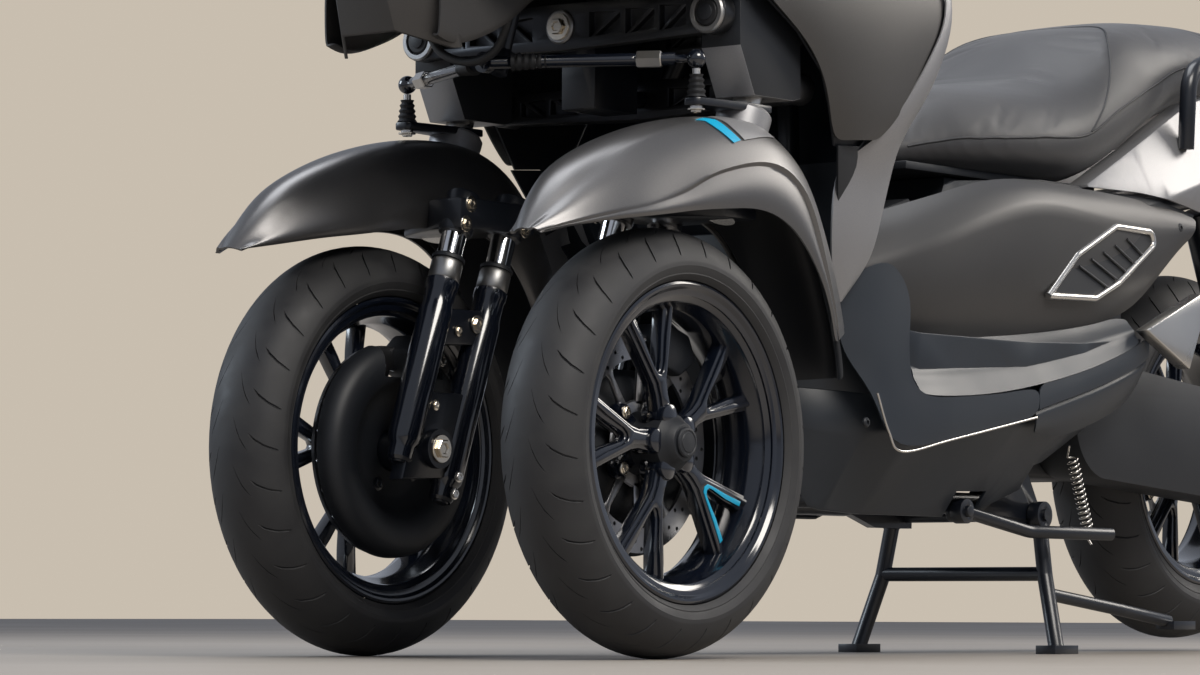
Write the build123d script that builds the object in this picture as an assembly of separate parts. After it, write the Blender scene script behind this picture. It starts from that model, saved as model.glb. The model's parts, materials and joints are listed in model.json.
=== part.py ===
from build123d import *
import math
import os

# Three-wheeled leaning scooter: two steered front wheels, one driven rear wheel.
# X is forward, Y is the vehicle's left, Z is up, all in millimetres.
# The origin is on the floor, midway between nose and tail.

os.makedirs("parts", exist_ok=True)

# Overall sizes
LENGTH = 2250.0
WIDTH = 815.0
HEIGHT = 1470.0
WHEELBASE = 1595.0
FRONT_OVERHANG = 295.0
TRACK = 470.0
NOSE_X = LENGTH / 2
TAIL_X = -LENGTH / 2
FRONT_AXLE_X = NOSE_X - FRONT_OVERHANG
REAR_AXLE_X = FRONT_AXLE_X - WHEELBASE
WHEEL_Y = TRACK / 2

# Tyres and rims
FRONT_TYRE_RADIUS = 262.0
FRONT_TYRE_WIDTH = 120.0
REAR_TYRE_RADIUS = 276.0
REAR_TYRE_WIDTH = 140.0
REAR_LIFT = 20.0
RIM_BEAD_RADIUS = 178.0
RIM_FLANGE_RADIUS = 195.0
RIM_WALL = 6.0
TYRE_WALL = 9.0
SEAT_GAP = 0.3
SPOKE_COUNT = 5
SPOKE_TURN = -75.0
HUB_RADIUS = 34.0
AXLE_RADIUS = 10.0
RUNNING_GAP = 0.05
FRONT_DISC_RADIUS = 133.5
REAR_DISC_RADIUS = 122.5
DISC_THICKNESS = 4.5
DISC_BAND = 34.0

# Front axle and steering geometry
RAKE = 20.0
TRAIL = 68.0
FRONT_AXLE_Z = FRONT_TYRE_RADIUS
REAR_AXLE_Z = REAR_TYRE_RADIUS + REAR_LIFT
RAKE_SLOPE = math.tan(math.radians(RAKE))
STEER_AXIS = Vector(-math.sin(math.radians(RAKE)), 0, math.cos(math.radians(RAKE)))
FORK_Y = WHEEL_Y - 105.0
FORK_TUBE_PITCH = 93.0
STANCHION_RADIUS = 16.5
FORK_LOWER_RADIUS = 22.0
FORK_TOP_Z = 592.0
FORK_SEAL_Z = 500.0
KINGPIN_RADIUS = 18.0
KINGPIN_TOP_Z = 826.0

# Leaning linkage
UPPER_ARM_Z = 800.0
LOWER_ARM_Z = 722.0
ARM_FRONT_X = FRONT_AXLE_X - 104.0
ARM_PLATE = 20.0
ARM_REAR_X = FRONT_AXLE_X - 264.0
LOWER_ARM_X = FRONT_AXLE_X - 270.0
LOWER_ARM_DEPTH = 32.0
PIVOT_PIN_RADIUS = 10.0
BRACKET_HALF = 27.0
BRACKET_REAR_X = FRONT_AXLE_X - 230.0
BRACKET_FRONT_X = FRONT_AXLE_X - 140.0
KNUCKLE_HALF = 30.0

# Steering linkage
TIE_ROD_Z = 740.0
TIE_ROD_RADIUS = 8.0
TIE_ROD_NECK = 26.0
TIE_ROD_NECK_RADIUS = 5.0
BALL_RADIUS = 12.0
STEER_ARM = 122.0
STEER_ARM_DROP = 54.0
COLUMN_OFFSET = 95.0
COLUMN_RADIUS = 15.0
PITMAN_Z = 893.0
HANDLEBAR_Z = 1052.0
GRIP_Z = 1075.0
GRIP_X = 405.0
GRIP_RADIUS = 17.0
BAR_RADIUS = 11.0
BAR_END_Y = 372.0

# Bodywork
PANEL_WALL = 4.0
PANEL_GAP = 3.0
BEAK_HALF = 92.0
BEAK_BOTTOM_Z = 735.0
SCREEN_WALL = 4.0
SEAT_HEIGHT = 795.0
SEAT_HINGE_X = 172.0
SEAT_HINGE_Z = 640.0
HINGE_PIN_RADIUS = 5.0
HINGE_EYE_RADIUS = 9.0
HINGE_EYE_HALF = 22.5
HINGE_LUG_Y = 28.0
HINGE_LUG_WALL = 6.0
TUB_HALF = 120.0
TUB_LOW_Z = 466.0
TUB_TOP_Z = 656.0
ENGINE_HALF = 78.0
STAND_PIVOT_X = -200.0
STAND_PIVOT_Z = 195.0
STAND_FOOT_X = -176.0
STAND_HALF = 168.0

# Places where other things bolt on
CARRIER_X = -905.0
CARRIER_TOP_Z = 924.0
CARRIER_PITCH_X = 70.0
CARRIER_PITCH_Y = 160.0
CARRIER_HOLE_RADIUS = 4.2
BOARD_X = -1085.0
BOARD_WALL = 4.0
BOARD_HALF = 95.0
BOARD_PITCH = 140.0
BOARD_HOLE_Z = 596.0
BOARD_HOLE_RADIUS = 3.2


def kingpin_x(z):
    """X of a front wheel's steering axis at height z."""
    return FRONT_AXLE_X + TRAIL - z * RAKE_SLOPE


def column_x(z):
    """X of the handlebar column's axis at height z."""
    return kingpin_x(z) + COLUMN_OFFSET


def rod(start, end, radius):
    """Round bar from one point to another."""
    along = Vector(*end) - Vector(*start)
    plane = Plane(origin=start, z_dir=along)
    return plane * Cylinder(radius, along.length, align=(Align.CENTER, Align.CENTER, Align.MIN))


def block(low, high):
    """Rectangular block between two corners."""
    size = [b - a for a, b in zip(low, high)]
    centre = [(a + b) / 2 for a, b in zip(low, high)]
    return Pos(*centre) * Box(*size)


def side_prism(points, y_low, y_high):
    """Solid with the given side view, in X and Z, between two Y values."""
    plane = Plane(origin=(0, y_high, 0), x_dir=(1, 0, 0), z_dir=(0, -1, 0))
    face = make_face(Polyline(*points, close=True))
    return extrude(plane * face, amount=y_high - y_low)


def front_prism(points, x_low, x_high):
    """Solid with the given front view, in Y and Z, between two X values."""
    plane = Plane(origin=(x_low, 0, 0), x_dir=(0, 1, 0), z_dir=(1, 0, 0))
    face = make_face(Polyline(*points, close=True))
    return extrude(plane * face, amount=x_high - x_low)


def plan_prism(points, z_low, z_high):
    """Solid with the given plan view, in X and Y, between two Z values."""
    face = make_face(Polyline(*points, close=True))
    return extrude(Pos(0, 0, z_low) * face, amount=z_high - z_low)


def bent_tube(points, radius, bend):
    """Round tube of straight runs joined by arcs."""
    path = FilletPolyline(*points, radius=bend)
    start = Plane(origin=points[0], z_dir=Vector(*points[1]) - Vector(*points[0]))
    return sweep(start * Circle(radius), path=path)


def hull_along_x(sections):
    """Symmetric body lofted through sections, each an X and a list of (half width, Z)."""
    faces = []
    for x, points in sections:
        left = [(half, z) for half, z in points]
        right = [(-half, z) for half, z in reversed(points)]
        plane = Plane(origin=(x, 0, 0), x_dir=(0, 1, 0), z_dir=(1, 0, 0))
        faces.append(plane * make_face(Polyline(*(left + right), close=True)))
    return loft(faces, ruled=True)


def hull_along_z(sections):
    """Symmetric body lofted through plan sections, each a Z and a list of (X, half width)."""
    faces = []
    for z, points in sections:
        left = [(x, half) for x, half in points]
        right = [(x, -half) for x, half in reversed(points)]
        faces.append(Pos(0, 0, z) * make_face(Polyline(*(left + right), close=True)))
    return loft(faces, ruled=True)


def mirrored(solid):
    """The same piece on the other side of the vehicle."""
    return mirror(solid, about=Plane.XZ)


def save(solid, name):
    """Write one node's file."""
    export_step(solid, "parts/" + name + ".step")


# Wheels, made about Z with their outer face up, then laid on their side

def tyre(radius, width):
    """Hollow tyre whose beads sit in the rim."""
    half = width / 2
    shoulder = radius - width * 0.367
    bead = RIM_BEAD_RADIUS + SEAT_GAP
    neck = RIM_FLANGE_RADIUS + 1.5
    foot = half - 14.0
    outer = ThreePointArc((shoulder, half), (radius, 0), (shoulder, -half))
    inner = ThreePointArc(
        (shoulder, TYRE_WALL - half), (radius - TYRE_WALL, 0), (shoulder, half - TYRE_WALL))
    edges = outer + inner
    edges += Polyline(outer @ 1, (neck, -foot - 3.5), (neck, SEAT_GAP - foot), (bead, SEAT_GAP - foot),
                      (bead, TYRE_WALL - foot), inner @ 0)
    edges += Polyline(inner @ 1, (bead, foot - TYRE_WALL), (bead, foot - SEAT_GAP),
                      (neck, foot - SEAT_GAP), (neck, foot + 3.5), outer @ 0)
    return revolve(Plane.XZ * make_face(edges), axis=Axis.Z)


def rim_barrel(width):
    """Rim with a well, bead seats and two flanges."""
    half = width / 2
    foot = half - 14.0
    lip = foot + 5.0
    well = RIM_BEAD_RADIUS - 10.0
    outside = [
        (RIM_FLANGE_RADIUS, -lip), (RIM_FLANGE_RADIUS, -foot), (RIM_BEAD_RADIUS, -foot),
        (RIM_BEAD_RADIUS, 16 - foot), (well, 24 - foot), (well, foot - 24),
        (RIM_BEAD_RADIUS, foot - 16), (RIM_BEAD_RADIUS, foot), (RIM_FLANGE_RADIUS, foot),
        (RIM_FLANGE_RADIUS, lip),
    ]
    inside = [
        (RIM_FLANGE_RADIUS - 5, lip), (RIM_BEAD_RADIUS - RIM_WALL, foot - 6),
        (well - RIM_WALL, foot - 26), (well - RIM_WALL, 26 - foot),
        (RIM_BEAD_RADIUS - RIM_WALL, 6 - foot), (RIM_FLANGE_RADIUS - 5, -lip),
    ]
    face = make_face(Polyline(*(outside + inside), close=True))
    return revolve(Plane.XZ * face, axis=Axis.Z)


def spokes(low, high):
    """Five spokes that each split into two arms before the rim."""
    reach = RIM_BEAD_RADIUS - 12.0
    fork_at = 92.0
    stem = Polyline((HUB_RADIUS - 6, -13), (fork_at + 8, -11), (fork_at + 8, 11),
                    (HUB_RADIUS - 6, 13), close=True)
    solid = None
    for i in range(SPOKE_COUNT):
        turn = Rot(0, 0, SPOKE_TURN + i * 360 / SPOKE_COUNT)
        piece = extrude(make_face(stem), amount=high - low)
        for side in (-1, 1):
            arm = Polyline((fork_at - 6, side * 1), (fork_at + 8, side * 12),
                           (reach, side * 50), (reach + 4, side * 32), close=True)
            piece += extrude(make_face(arm), amount=high - low)
        piece = Pos(0, 0, low) * turn * piece
        solid = piece if solid is None else solid + piece
    return solid


def disc(radius, z):
    """Brake disc: a band on five arms that reach the hub."""
    ring = Cylinder(radius, DISC_THICKNESS) - Cylinder(radius - DISC_BAND, DISC_THICKNESS)
    for i in range(SPOKE_COUNT):
        arm = Pos((radius - DISC_BAND + HUB_RADIUS) / 2, 0, 0)
        arm *= Box(radius - DISC_BAND - HUB_RADIUS + 8, 18, DISC_THICKNESS)
        ring += Rot(0, 0, 54 + i * 360 / SPOKE_COUNT) * arm
    return Pos(0, 0, z) * ring


def wheel_rim(tyre_width, disc_radius, disc_z, hub_low, hub_high):
    """Rim, spokes, hub and brake disc, bored for the axle."""
    hub = Pos(0, 0, hub_low) * Cylinder(
        HUB_RADIUS, hub_high - hub_low, align=(Align.CENTER, Align.CENTER, Align.MIN))
    solid = rim_barrel(tyre_width) + spokes(2, 26) + hub + disc(disc_radius, disc_z)
    return solid - Cylinder(AXLE_RADIUS + RUNNING_GAP, 400)


def lay_wheel(solid, x, y, z):
    """Turn a wheel so that its outer face looks to the left, at its axle."""
    return Pos(x, y, z) * Rot(-90, 0, 0) * solid


front_tyre = tyre(FRONT_TYRE_RADIUS, FRONT_TYRE_WIDTH)
front_rim = wheel_rim(FRONT_TYRE_WIDTH, FRONT_DISC_RADIUS, -30.0, -36.0, 44.0)
left_tyre = lay_wheel(front_tyre, FRONT_AXLE_X, WHEEL_Y, FRONT_AXLE_Z)
left_rim = lay_wheel(front_rim, FRONT_AXLE_X, WHEEL_Y, FRONT_AXLE_Z)
save(left_tyre, "front_tyre_left")
save(mirrored(left_tyre), "front_tyre_right")
save(left_rim, "front_rim_left")
save(mirrored(left_rim), "front_rim_right")

rear_rim = wheel_rim(REAR_TYRE_WIDTH, REAR_DISC_RADIUS, -62.0, -68.0, 52.0)
save(lay_wheel(tyre(REAR_TYRE_RADIUS, REAR_TYRE_WIDTH), REAR_AXLE_X, 0, REAR_AXLE_Z), "rear_tyre")
save(lay_wheel(rear_rim, REAR_AXLE_X, 0, REAR_AXLE_Z), "rear_rim")


# Left fork: kingpin, crown, twin legs in tandem, stub axle and steering arm

def fork_tube_x(z, side):
    """X of a leg at height z; side is +1 for the front leg and -1 for the rear leg."""
    axle_line = FRONT_AXLE_X + (FRONT_AXLE_Z - z) * RAKE_SLOPE
    return axle_line + side * FORK_TUBE_PITCH / 2 / math.cos(math.radians(RAKE))


def fork_left():
    """The steered part that carries the left front wheel."""
    crown_top = FORK_TOP_Z - 8
    crown_low = FORK_TOP_Z - 48
    mid_z = (crown_top + crown_low) / 2
    solid = rod((kingpin_x(crown_low), WHEEL_Y, crown_low),
                (kingpin_x(KINGPIN_TOP_Z), WHEEL_Y, KINGPIN_TOP_Z), KINGPIN_RADIUS)
    front_x = fork_tube_x(mid_z, 1)
    rear_x = fork_tube_x(mid_z, -1)
    crown = [
        (rear_x - 26, FORK_Y - 24), (front_x + 26, FORK_Y - 24), (front_x + 26, FORK_Y + 20),
        (kingpin_x(mid_z) + 34, WHEEL_Y + 26), (kingpin_x(mid_z) - 34, WHEEL_Y + 26),
    ]
    solid += plan_prism(crown, crown_low, crown_top)
    for side, low_z in ((1, 247.0), (-1, 198.0)):
        top = (fork_tube_x(FORK_TOP_Z, side), FORK_Y, FORK_TOP_Z)
        seal = (fork_tube_x(FORK_SEAL_Z, side), FORK_Y, FORK_SEAL_Z)
        foot = (fork_tube_x(low_z, side), FORK_Y, low_z)
        solid += rod(top, seal, STANCHION_RADIUS)
        solid += rod(seal, foot, FORK_LOWER_RADIUS)
    for low_z, high_z in ((400.0, 440.0), (232.0, 330.0)):
        web = [
            (fork_tube_x(low_z, -1), low_z), (fork_tube_x(low_z, 1), low_z),
            (fork_tube_x(high_z, 1), high_z), (fork_tube_x(high_z, -1), high_z),
        ]
        solid += side_prism(web, FORK_Y - 9, FORK_Y + 9)
    solid += rod((FRONT_AXLE_X, FORK_Y - 22, FRONT_AXLE_Z),
                 (FRONT_AXLE_X, WHEEL_Y - 37, FRONT_AXLE_Z), 25)
    solid += rod((FRONT_AXLE_X, FORK_Y, FRONT_AXLE_Z),
                 (FRONT_AXLE_X, WHEEL_Y + 43, FRONT_AXLE_Z), AXLE_RADIUS)
    arm_z = TIE_ROD_Z - STEER_ARM_DROP
    ball_x = kingpin_x(TIE_ROD_Z) + STEER_ARM
    arm = [
        (kingpin_x(arm_z) - 24, WHEEL_Y - 24), (kingpin_x(arm_z) + 20, WHEEL_Y - 24),
        (ball_x + 13, WHEEL_Y - 13), (ball_x + 13, WHEEL_Y + 13),
        (kingpin_x(arm_z) + 20, WHEEL_Y + 24), (kingpin_x(arm_z) - 24, WHEEL_Y + 24),
    ]
    solid += plan_prism(arm, arm_z - 5, arm_z + 5)
    solid += rod((ball_x, WHEEL_Y, arm_z), (ball_x, WHEEL_Y, TIE_ROD_Z - BALL_RADIUS - SEAT_GAP), 5)
    return solid


left_fork = fork_left()
save(left_fork, "fork_left")
save(mirrored(left_fork), "fork_right")


# Brake cover and caliper, inside the wheel's inboard mouth

def disc_cover_left():
    """Round cover over the inboard side of the disc, with the caliper behind it."""
    low = WHEEL_Y - 78.0
    high = WHEEL_Y - 39.0
    centre = (FRONT_AXLE_X, FRONT_AXLE_Z)
    solid = rod((centre[0], low, centre[1]), (centre[0], high, centre[1]), 138)
    solid -= rod((centre[0], low + 8, centre[1]), (centre[0], high, centre[1]), 132)
    solid -= rod((centre[0], low - 5, centre[1]), (centre[0], high, centre[1]), 25 + SEAT_GAP)
    return solid


left_cover = disc_cover_left()
save(left_cover, "disc_cover_left")
save(mirrored(left_cover), "disc_cover_right")


# Fenders: a crowned arch over each front wheel, fixed to the steered part

FENDER_CENTRE_X = FRONT_AXLE_X - 70.0
FENDER_CENTRE_Z = 330.0
FENDER_WALL = 4.0
# columns: angle from straight up towards the rear, radius from the arch centre, half width, side depth
FENDER_STATIONS = (
    (-62.0, 372.0, 36.0, 24.0),
    (-44.0, 364.0, 62.0, 66.0),
    (-14.0, 334.0, 72.0, 106.0),
    (10.0, 346.0, 74.0, 116.0),
    (34.0, 366.0, 74.0, 96.0),
    (54.0, 332.0, 68.0, 60.0),
    (73.0, 326.0, 60.0, 40.0),
)


def fender_section(angle, radius, half, depth, wall):
    """Cross-section of the fender: a flat crown, sloped shoulders and sides."""
    turn = math.radians(angle)
    out = Vector(-math.sin(turn), 0, math.cos(turn))
    origin = Vector(FENDER_CENTRE_X, WHEEL_Y, FENDER_CENTRE_Z)
    plane = Plane(origin=origin, x_dir=(0, 1, 0), z_dir=Vector(0, 1, 0).cross(out))
    top = radius - wall
    side = half - wall
    points = [
        (-side, radius - depth), (-side, top - depth * 0.42), (-side * 0.62, top - 6), (0, top),
        (side * 0.62, top - 6), (side, top - depth * 0.42), (side, radius - depth),
    ]
    return plane * make_face(Polyline(*points, close=True))


def fender_left():
    """Lofted arch, open below, notched for the crown and the kingpin."""
    outer = loft([fender_section(a, r, h, d, 0.0) for a, r, h, d in FENDER_STATIONS], ruled=True)
    inner = loft([fender_section(a, r, h, d + 3, FENDER_WALL) for a, r, h, d in FENDER_STATIONS], ruled=True)
    solid = outer - inner
    notch_x = kingpin_x(FORK_TOP_Z)
    solid -= block((notch_x - 60, FORK_Y, FORK_TOP_Z - 140), (notch_x + 130, WHEEL_Y - 40, FORK_TOP_Z + 8))
    solid -= rod((kingpin_x(600), WHEEL_Y, 600), (kingpin_x(720), WHEEL_Y, 720), KINGPIN_RADIUS + 4)
    seat_block = block((notch_x + 26, WHEEL_Y - 16, FORK_TOP_Z - 8 + SEAT_GAP), (notch_x + 60, WHEEL_Y + 16, 700))
    solid += seat_block & outer
    return solid


left_fender = fender_left()
save(left_fender, "fender_left")
save(mirrored(left_fender), "fender_right")


# Leaning linkage: two beams pivoted on the centre line, joined by an upright at each wheel

def arm_plate(z, x_low, x_high, hub, end, waist):
    """Plate of a leaning arm, with a hub in the middle and a boss at each end."""
    points = [(-WHEEL_Y, z - end), (0, z - hub), (WHEEL_Y, z - end),
              (WHEEL_Y, z + end), (0, z + hub), (-WHEEL_Y, z + end)]
    solid = front_prism(points, x_low, x_high)
    for y in (-WHEEL_Y, WHEEL_Y):
        solid += rod((x_low, y, z), (x_high, y, z), end + 3)
    pocket_half = waist
    for side in (-1, 1):
        for y_in, y_out in ((46, 96), (104, 150), (158, 200)):
            pocket = [(side * y_in, z - pocket_half), (side * y_out, z - pocket_half + 3),
                      (side * y_out, z + pocket_half - 3), (side * y_in, z + pocket_half)]
            solid -= front_prism(pocket, x_high - ARM_PLATE * 0.6, x_high)
            rib = [(side * y_in, z - pocket_half), (side * (y_in + 6), z - pocket_half),
                   (side * y_out, z + pocket_half - 3), (side * (y_out - 6), z + pocket_half)]
            solid += front_prism(rib, x_high - ARM_PLATE * 0.6, x_high - 2)
    return solid


def upper_arm():
    """Front and rear plates joined by two webs."""
    front = arm_plate(UPPER_ARM_Z, ARM_FRONT_X - ARM_PLATE, ARM_FRONT_X, 30, 24, 16)
    rear = arm_plate(UPPER_ARM_Z, ARM_REAR_X - ARM_PLATE, ARM_REAR_X, 34, 24, 16)
    solid = front + rear
    for side in (-1, 1):
        low, high = sorted((side * 80, side * 160))
        solid += block((ARM_REAR_X, low, UPPER_ARM_Z - 5), (ARM_FRONT_X - ARM_PLATE, high, UPPER_ARM_Z + 5))
    for y in (-WHEEL_Y, 0, WHEEL_Y):
        solid -= rod((ARM_REAR_X - 60, y, UPPER_ARM_Z), (ARM_FRONT_X + 60, y, UPPER_ARM_Z),
                     PIVOT_PIN_RADIUS + RUNNING_GAP)
    return solid


def lower_arm():
    """Single beam behind the forks."""
    low_x = LOWER_ARM_X - LOWER_ARM_DEPTH
    solid = arm_plate(LOWER_ARM_Z, low_x, LOWER_ARM_X, 26, 18, 12)
    for y in (-WHEEL_Y, 0, WHEEL_Y):
        solid -= rod((low_x - 20, y, LOWER_ARM_Z), (LOWER_ARM_X + 20, y, LOWER_ARM_Z),
                     PIVOT_PIN_RADIUS + RUNNING_GAP)
    return solid


def knuckle_left():
    """Upright between the two arms, with the kingpin's bearing through it."""
    rear = ARM_REAR_X + 6
    front = ARM_FRONT_X - ARM_PLATE - 6
    low_z = LOWER_ARM_Z - 22
    top_z = UPPER_ARM_Z + 26
    outline = [(rear, low_z + 4), (rear + 16, low_z), (front - 30, low_z), (front, UPPER_ARM_Z - 40),
               (front, top_z - 10), (front - 16, top_z), (rear + 8, top_z), (rear, top_z - 10)]
    solid = side_prism(outline, WHEEL_Y - KNUCKLE_HALF, WHEEL_Y + KNUCKLE_HALF)
    solid += rod((front, WHEEL_Y, UPPER_ARM_Z), (ARM_FRONT_X + 8, WHEEL_Y, UPPER_ARM_Z), PIVOT_PIN_RADIUS)
    solid += rod((rear, WHEEL_Y, UPPER_ARM_Z), (ARM_REAR_X - ARM_PLATE - 8, WHEEL_Y, UPPER_ARM_Z),
                 PIVOT_PIN_RADIUS)
    solid += rod((rear, WHEEL_Y, LOWER_ARM_Z),
                 (LOWER_ARM_X - LOWER_ARM_DEPTH - 6, WHEEL_Y, LOWER_ARM_Z), PIVOT_PIN_RADIUS)
    solid -= rod((kingpin_x(600), WHEEL_Y, 600), (kingpin_x(900), WHEEL_Y, 900),
                 KINGPIN_RADIUS + RUNNING_GAP)
    return solid


save(upper_arm(), "upper_arm")
save(lower_arm(), "lower_arm")
left_knuckle = knuckle_left()
save(left_knuckle, "knuckle_left")
save(mirrored(left_knuckle), "knuckle_right")

# Centre bracket: carries both arms on two long pins, and hangs from the frame's spine
SPINE_LOW_Z = 872.0
bracket = block((BRACKET_REAR_X, -BRACKET_HALF, LOWER_ARM_Z - 24),
                (BRACKET_FRONT_X, BRACKET_HALF, UPPER_ARM_Z + 28))
bracket += block((BRACKET_REAR_X, -BRACKET_HALF, UPPER_ARM_Z + 20),
                 (BRACKET_REAR_X + 38, BRACKET_HALF, SPINE_LOW_Z))
bracket += rod((ARM_REAR_X - ARM_PLATE - 8, 0, UPPER_ARM_Z), (ARM_FRONT_X + 8, 0, UPPER_ARM_Z),
               PIVOT_PIN_RADIUS)
bracket += rod((LOWER_ARM_X - LOWER_ARM_DEPTH - 6, 0, LOWER_ARM_Z), (BRACKET_REAR_X, 0, LOWER_ARM_Z),
               PIVOT_PIN_RADIUS)
save(bracket, "lean_bracket")

# Tie rods: one pair that meets at a small block on the end of the pitman arm
centre_ball_x = column_x(TIE_ROD_Z) + STEER_ARM
outer_ball_x = kingpin_x(TIE_ROD_Z) + STEER_ARM
EYE_LOW_X = centre_ball_x + 24
tie_rods = rod((EYE_LOW_X, 0, TIE_ROD_Z), (EYE_LOW_X + 12, 0, TIE_ROD_Z), 13)
for side in (-1, 1):
    rod_root = Vector(EYE_LOW_X + 6, 0, TIE_ROD_Z)
    ball = Vector(outer_ball_x, side * WHEEL_Y, TIE_ROD_Z)
    rod_end = ball - (ball - rod_root).normalized() * TIE_ROD_NECK
    tie_rods += rod(tuple(rod_root), tuple(rod_end), TIE_ROD_RADIUS)
    tie_rods += rod(tuple(rod_end), tuple(ball), TIE_ROD_NECK_RADIUS)
    tie_rods += Pos(outer_ball_x, side * WHEEL_Y, TIE_ROD_Z) * Sphere(BALL_RADIUS)
tie_rods -= rod((centre_ball_x, 0, TIE_ROD_Z), (EYE_LOW_X + 30, 0, TIE_ROD_Z), 5 + RUNNING_GAP)
save(tie_rods, "tie_rods")
tie_block = rod((column_x(TIE_ROD_Z - 12) + STEER_ARM, 0, TIE_ROD_Z - 12),
                (column_x(TIE_ROD_Z + 18) + STEER_ARM, 0, TIE_ROD_Z + 18), 11)
tie_block += rod((centre_ball_x, 0, TIE_ROD_Z), (EYE_LOW_X + 16, 0, TIE_ROD_Z), 5)
save(tie_block, "tie_block")

# Steering column, pitman arm and handlebar
PITMAN_DROP_Z = TIE_ROD_Z + 18.4
column = rod((column_x(PITMAN_Z - 8), 0, PITMAN_Z - 8), (column_x(HANDLEBAR_Z), 0, HANDLEBAR_Z), COLUMN_RADIUS)
column += plan_prism([
    (column_x(PITMAN_Z) - 18, -20), (column_x(PITMAN_Z) + STEER_ARM + 12, -12),
    (column_x(PITMAN_Z) + STEER_ARM + 12, 12), (column_x(PITMAN_Z) - 18, 20)], PITMAN_Z - 8, PITMAN_Z + 6)
column += rod((column_x(PITMAN_DROP_Z) + STEER_ARM, 0, PITMAN_DROP_Z),
              (column_x(PITMAN_Z) + STEER_ARM, 0, PITMAN_Z), 9)
BAR_X = column_x(HANDLEBAR_Z)
bar_half = [(BAR_X, 55, HANDLEBAR_Z), (BAR_X - 45, 130, HANDLEBAR_Z + 14),
            (GRIP_X + 30, 245, GRIP_Z), (GRIP_X, BAR_END_Y, GRIP_Z)]
bar_points = [(x, -y, z) for x, y, z in reversed(bar_half)] + bar_half
handlebar = bent_tube(bar_points, BAR_RADIUS, 38)
handlebar += block((BAR_X - 20, -40, HANDLEBAR_Z - 18), (BAR_X + 20, 40, HANDLEBAR_Z + 16))
for side in (-1, 1):
    handlebar += rod((GRIP_X + 28, side * 246, GRIP_Z), (GRIP_X + 90, side * 225, GRIP_Z + 2), 10)
    handlebar += rod((GRIP_X + 88, side * 226, GRIP_Z + 2), (GRIP_X + 70, side * 385, GRIP_Z - 4), 6)
save(column + handlebar, "handlebar")
grip_set = None
for side in (-1, 1):
    tip = Vector(GRIP_X, side * BAR_END_Y, GRIP_Z)
    root = Vector(GRIP_X + 30, side * 245, GRIP_Z)
    along = (tip - root).normalized()
    start = root + along * 12
    end = tip + along * 24
    piece = rod(tuple(start), tuple(end), GRIP_RADIUS)
    piece -= rod(tuple(root - along * 10), tuple(tip + along * SEAT_GAP), BAR_RADIUS + SEAT_GAP)
    grip_set = piece if grip_set is None else grip_set + piece
save(grip_set, "grips")

# Mirrors on stems from the handlebar
MIRROR_Z = 1262.0
mirrors = None
for side in (-1, 1):
    foot = (BAR_X - 72, side * 155, HANDLEBAR_Z + 18)
    bend = (BAR_X - 40, side * 250, MIRROR_Z - 70)
    head = (BAR_X - 52, side * 318, MIRROR_Z)
    stem = rod(foot, bend, 7) + rod(bend, head, 7) + Pos(*bend) * Sphere(7)
    plane = Plane(origin=(BAR_X - 70, side * (WIDTH / 2 - 72), MIRROR_Z), x_dir=(0, 1, 0), z_dir=(1, 0, 0))
    shell = extrude(plane * RectangleRounded(144, 92, 34), amount=30, taper=12)
    piece = shell + stem - bent_tube(bar_points, BAR_RADIUS + SEAT_GAP, 38)
    mirrors = piece if mirrors is None else mirrors + piece
save(mirrors, "mirrors")

# Frame: spine, head tube, twin rails each side, and the stand's lugs
HEAD_LOW_Z = 908.0
HEAD_TOP_Z = 985.0
FRAME_RADIUS = 15.0
frame = side_prism([
    (BRACKET_REAR_X + 38, SPINE_LOW_Z), (BRACKET_REAR_X + 38, HEAD_TOP_Z - 25), (BRACKET_REAR_X, HEAD_TOP_Z - 20),
    (400, 880), (385, 800), (405, 790), (480, SPINE_LOW_Z)], -BRACKET_HALF, BRACKET_HALF)
frame += rod((column_x(HEAD_LOW_Z), 0, HEAD_LOW_Z), (column_x(HEAD_TOP_Z), 0, HEAD_TOP_Z), COLUMN_RADIUS + 9)
frame -= rod((column_x(HEAD_LOW_Z - 20), 0, HEAD_LOW_Z - 20), (column_x(HEAD_TOP_Z + 30), 0, HEAD_TOP_Z + 30),
             COLUMN_RADIUS + RUNNING_GAP)
rail = [(400, 22, 850), (372, 100, 760), (366, 105, 300), (300, 108, 208), (-70, 108, 208),
        (-175, 124, 330), (-250, 147, 520), (-420, 146, 640), (-900, 95, 720)]
RAIL_CROSSES = ((300.0, 208.0, 108.0), (-70.0, 208.0, 108.0), (-476.0, 649.3, 134.0), (-900.0, 720.0, 95.0))
for side in (-1, 1):
    frame += bent_tube([(x, side * y, z) for x, y, z in rail], FRAME_RADIUS, 40)
    low, high = sorted((side * 100, side * 114))
    frame += side_prism([(-60, 224), (-60, 196), (-120, 178), (STAND_PIVOT_X - 12, 178), (STAND_PIVOT_X - 14, 212),
                         (-160, 300)], low, high)
    # a hanger that holds the engine, and a peg that the storage tub rests against
    frame += rod((-186, side * (ENGINE_HALF + SEAT_GAP), 335), (-186, side * 122, 335), 13)
    frame += rod((-330, side * (TUB_HALF + SEAT_GAP), 576), (-330, side * 146, 576), 8)
for x, z, half in RAIL_CROSSES:
    frame += rod((x, -half, z), (x, half, z), FRAME_RADIUS - 3)
frame += rod((STAND_PIVOT_X, -140, STAND_PIVOT_Z), (STAND_PIVOT_X, 140, STAND_PIVOT_Z), 9)
save(frame, "frame")

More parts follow.
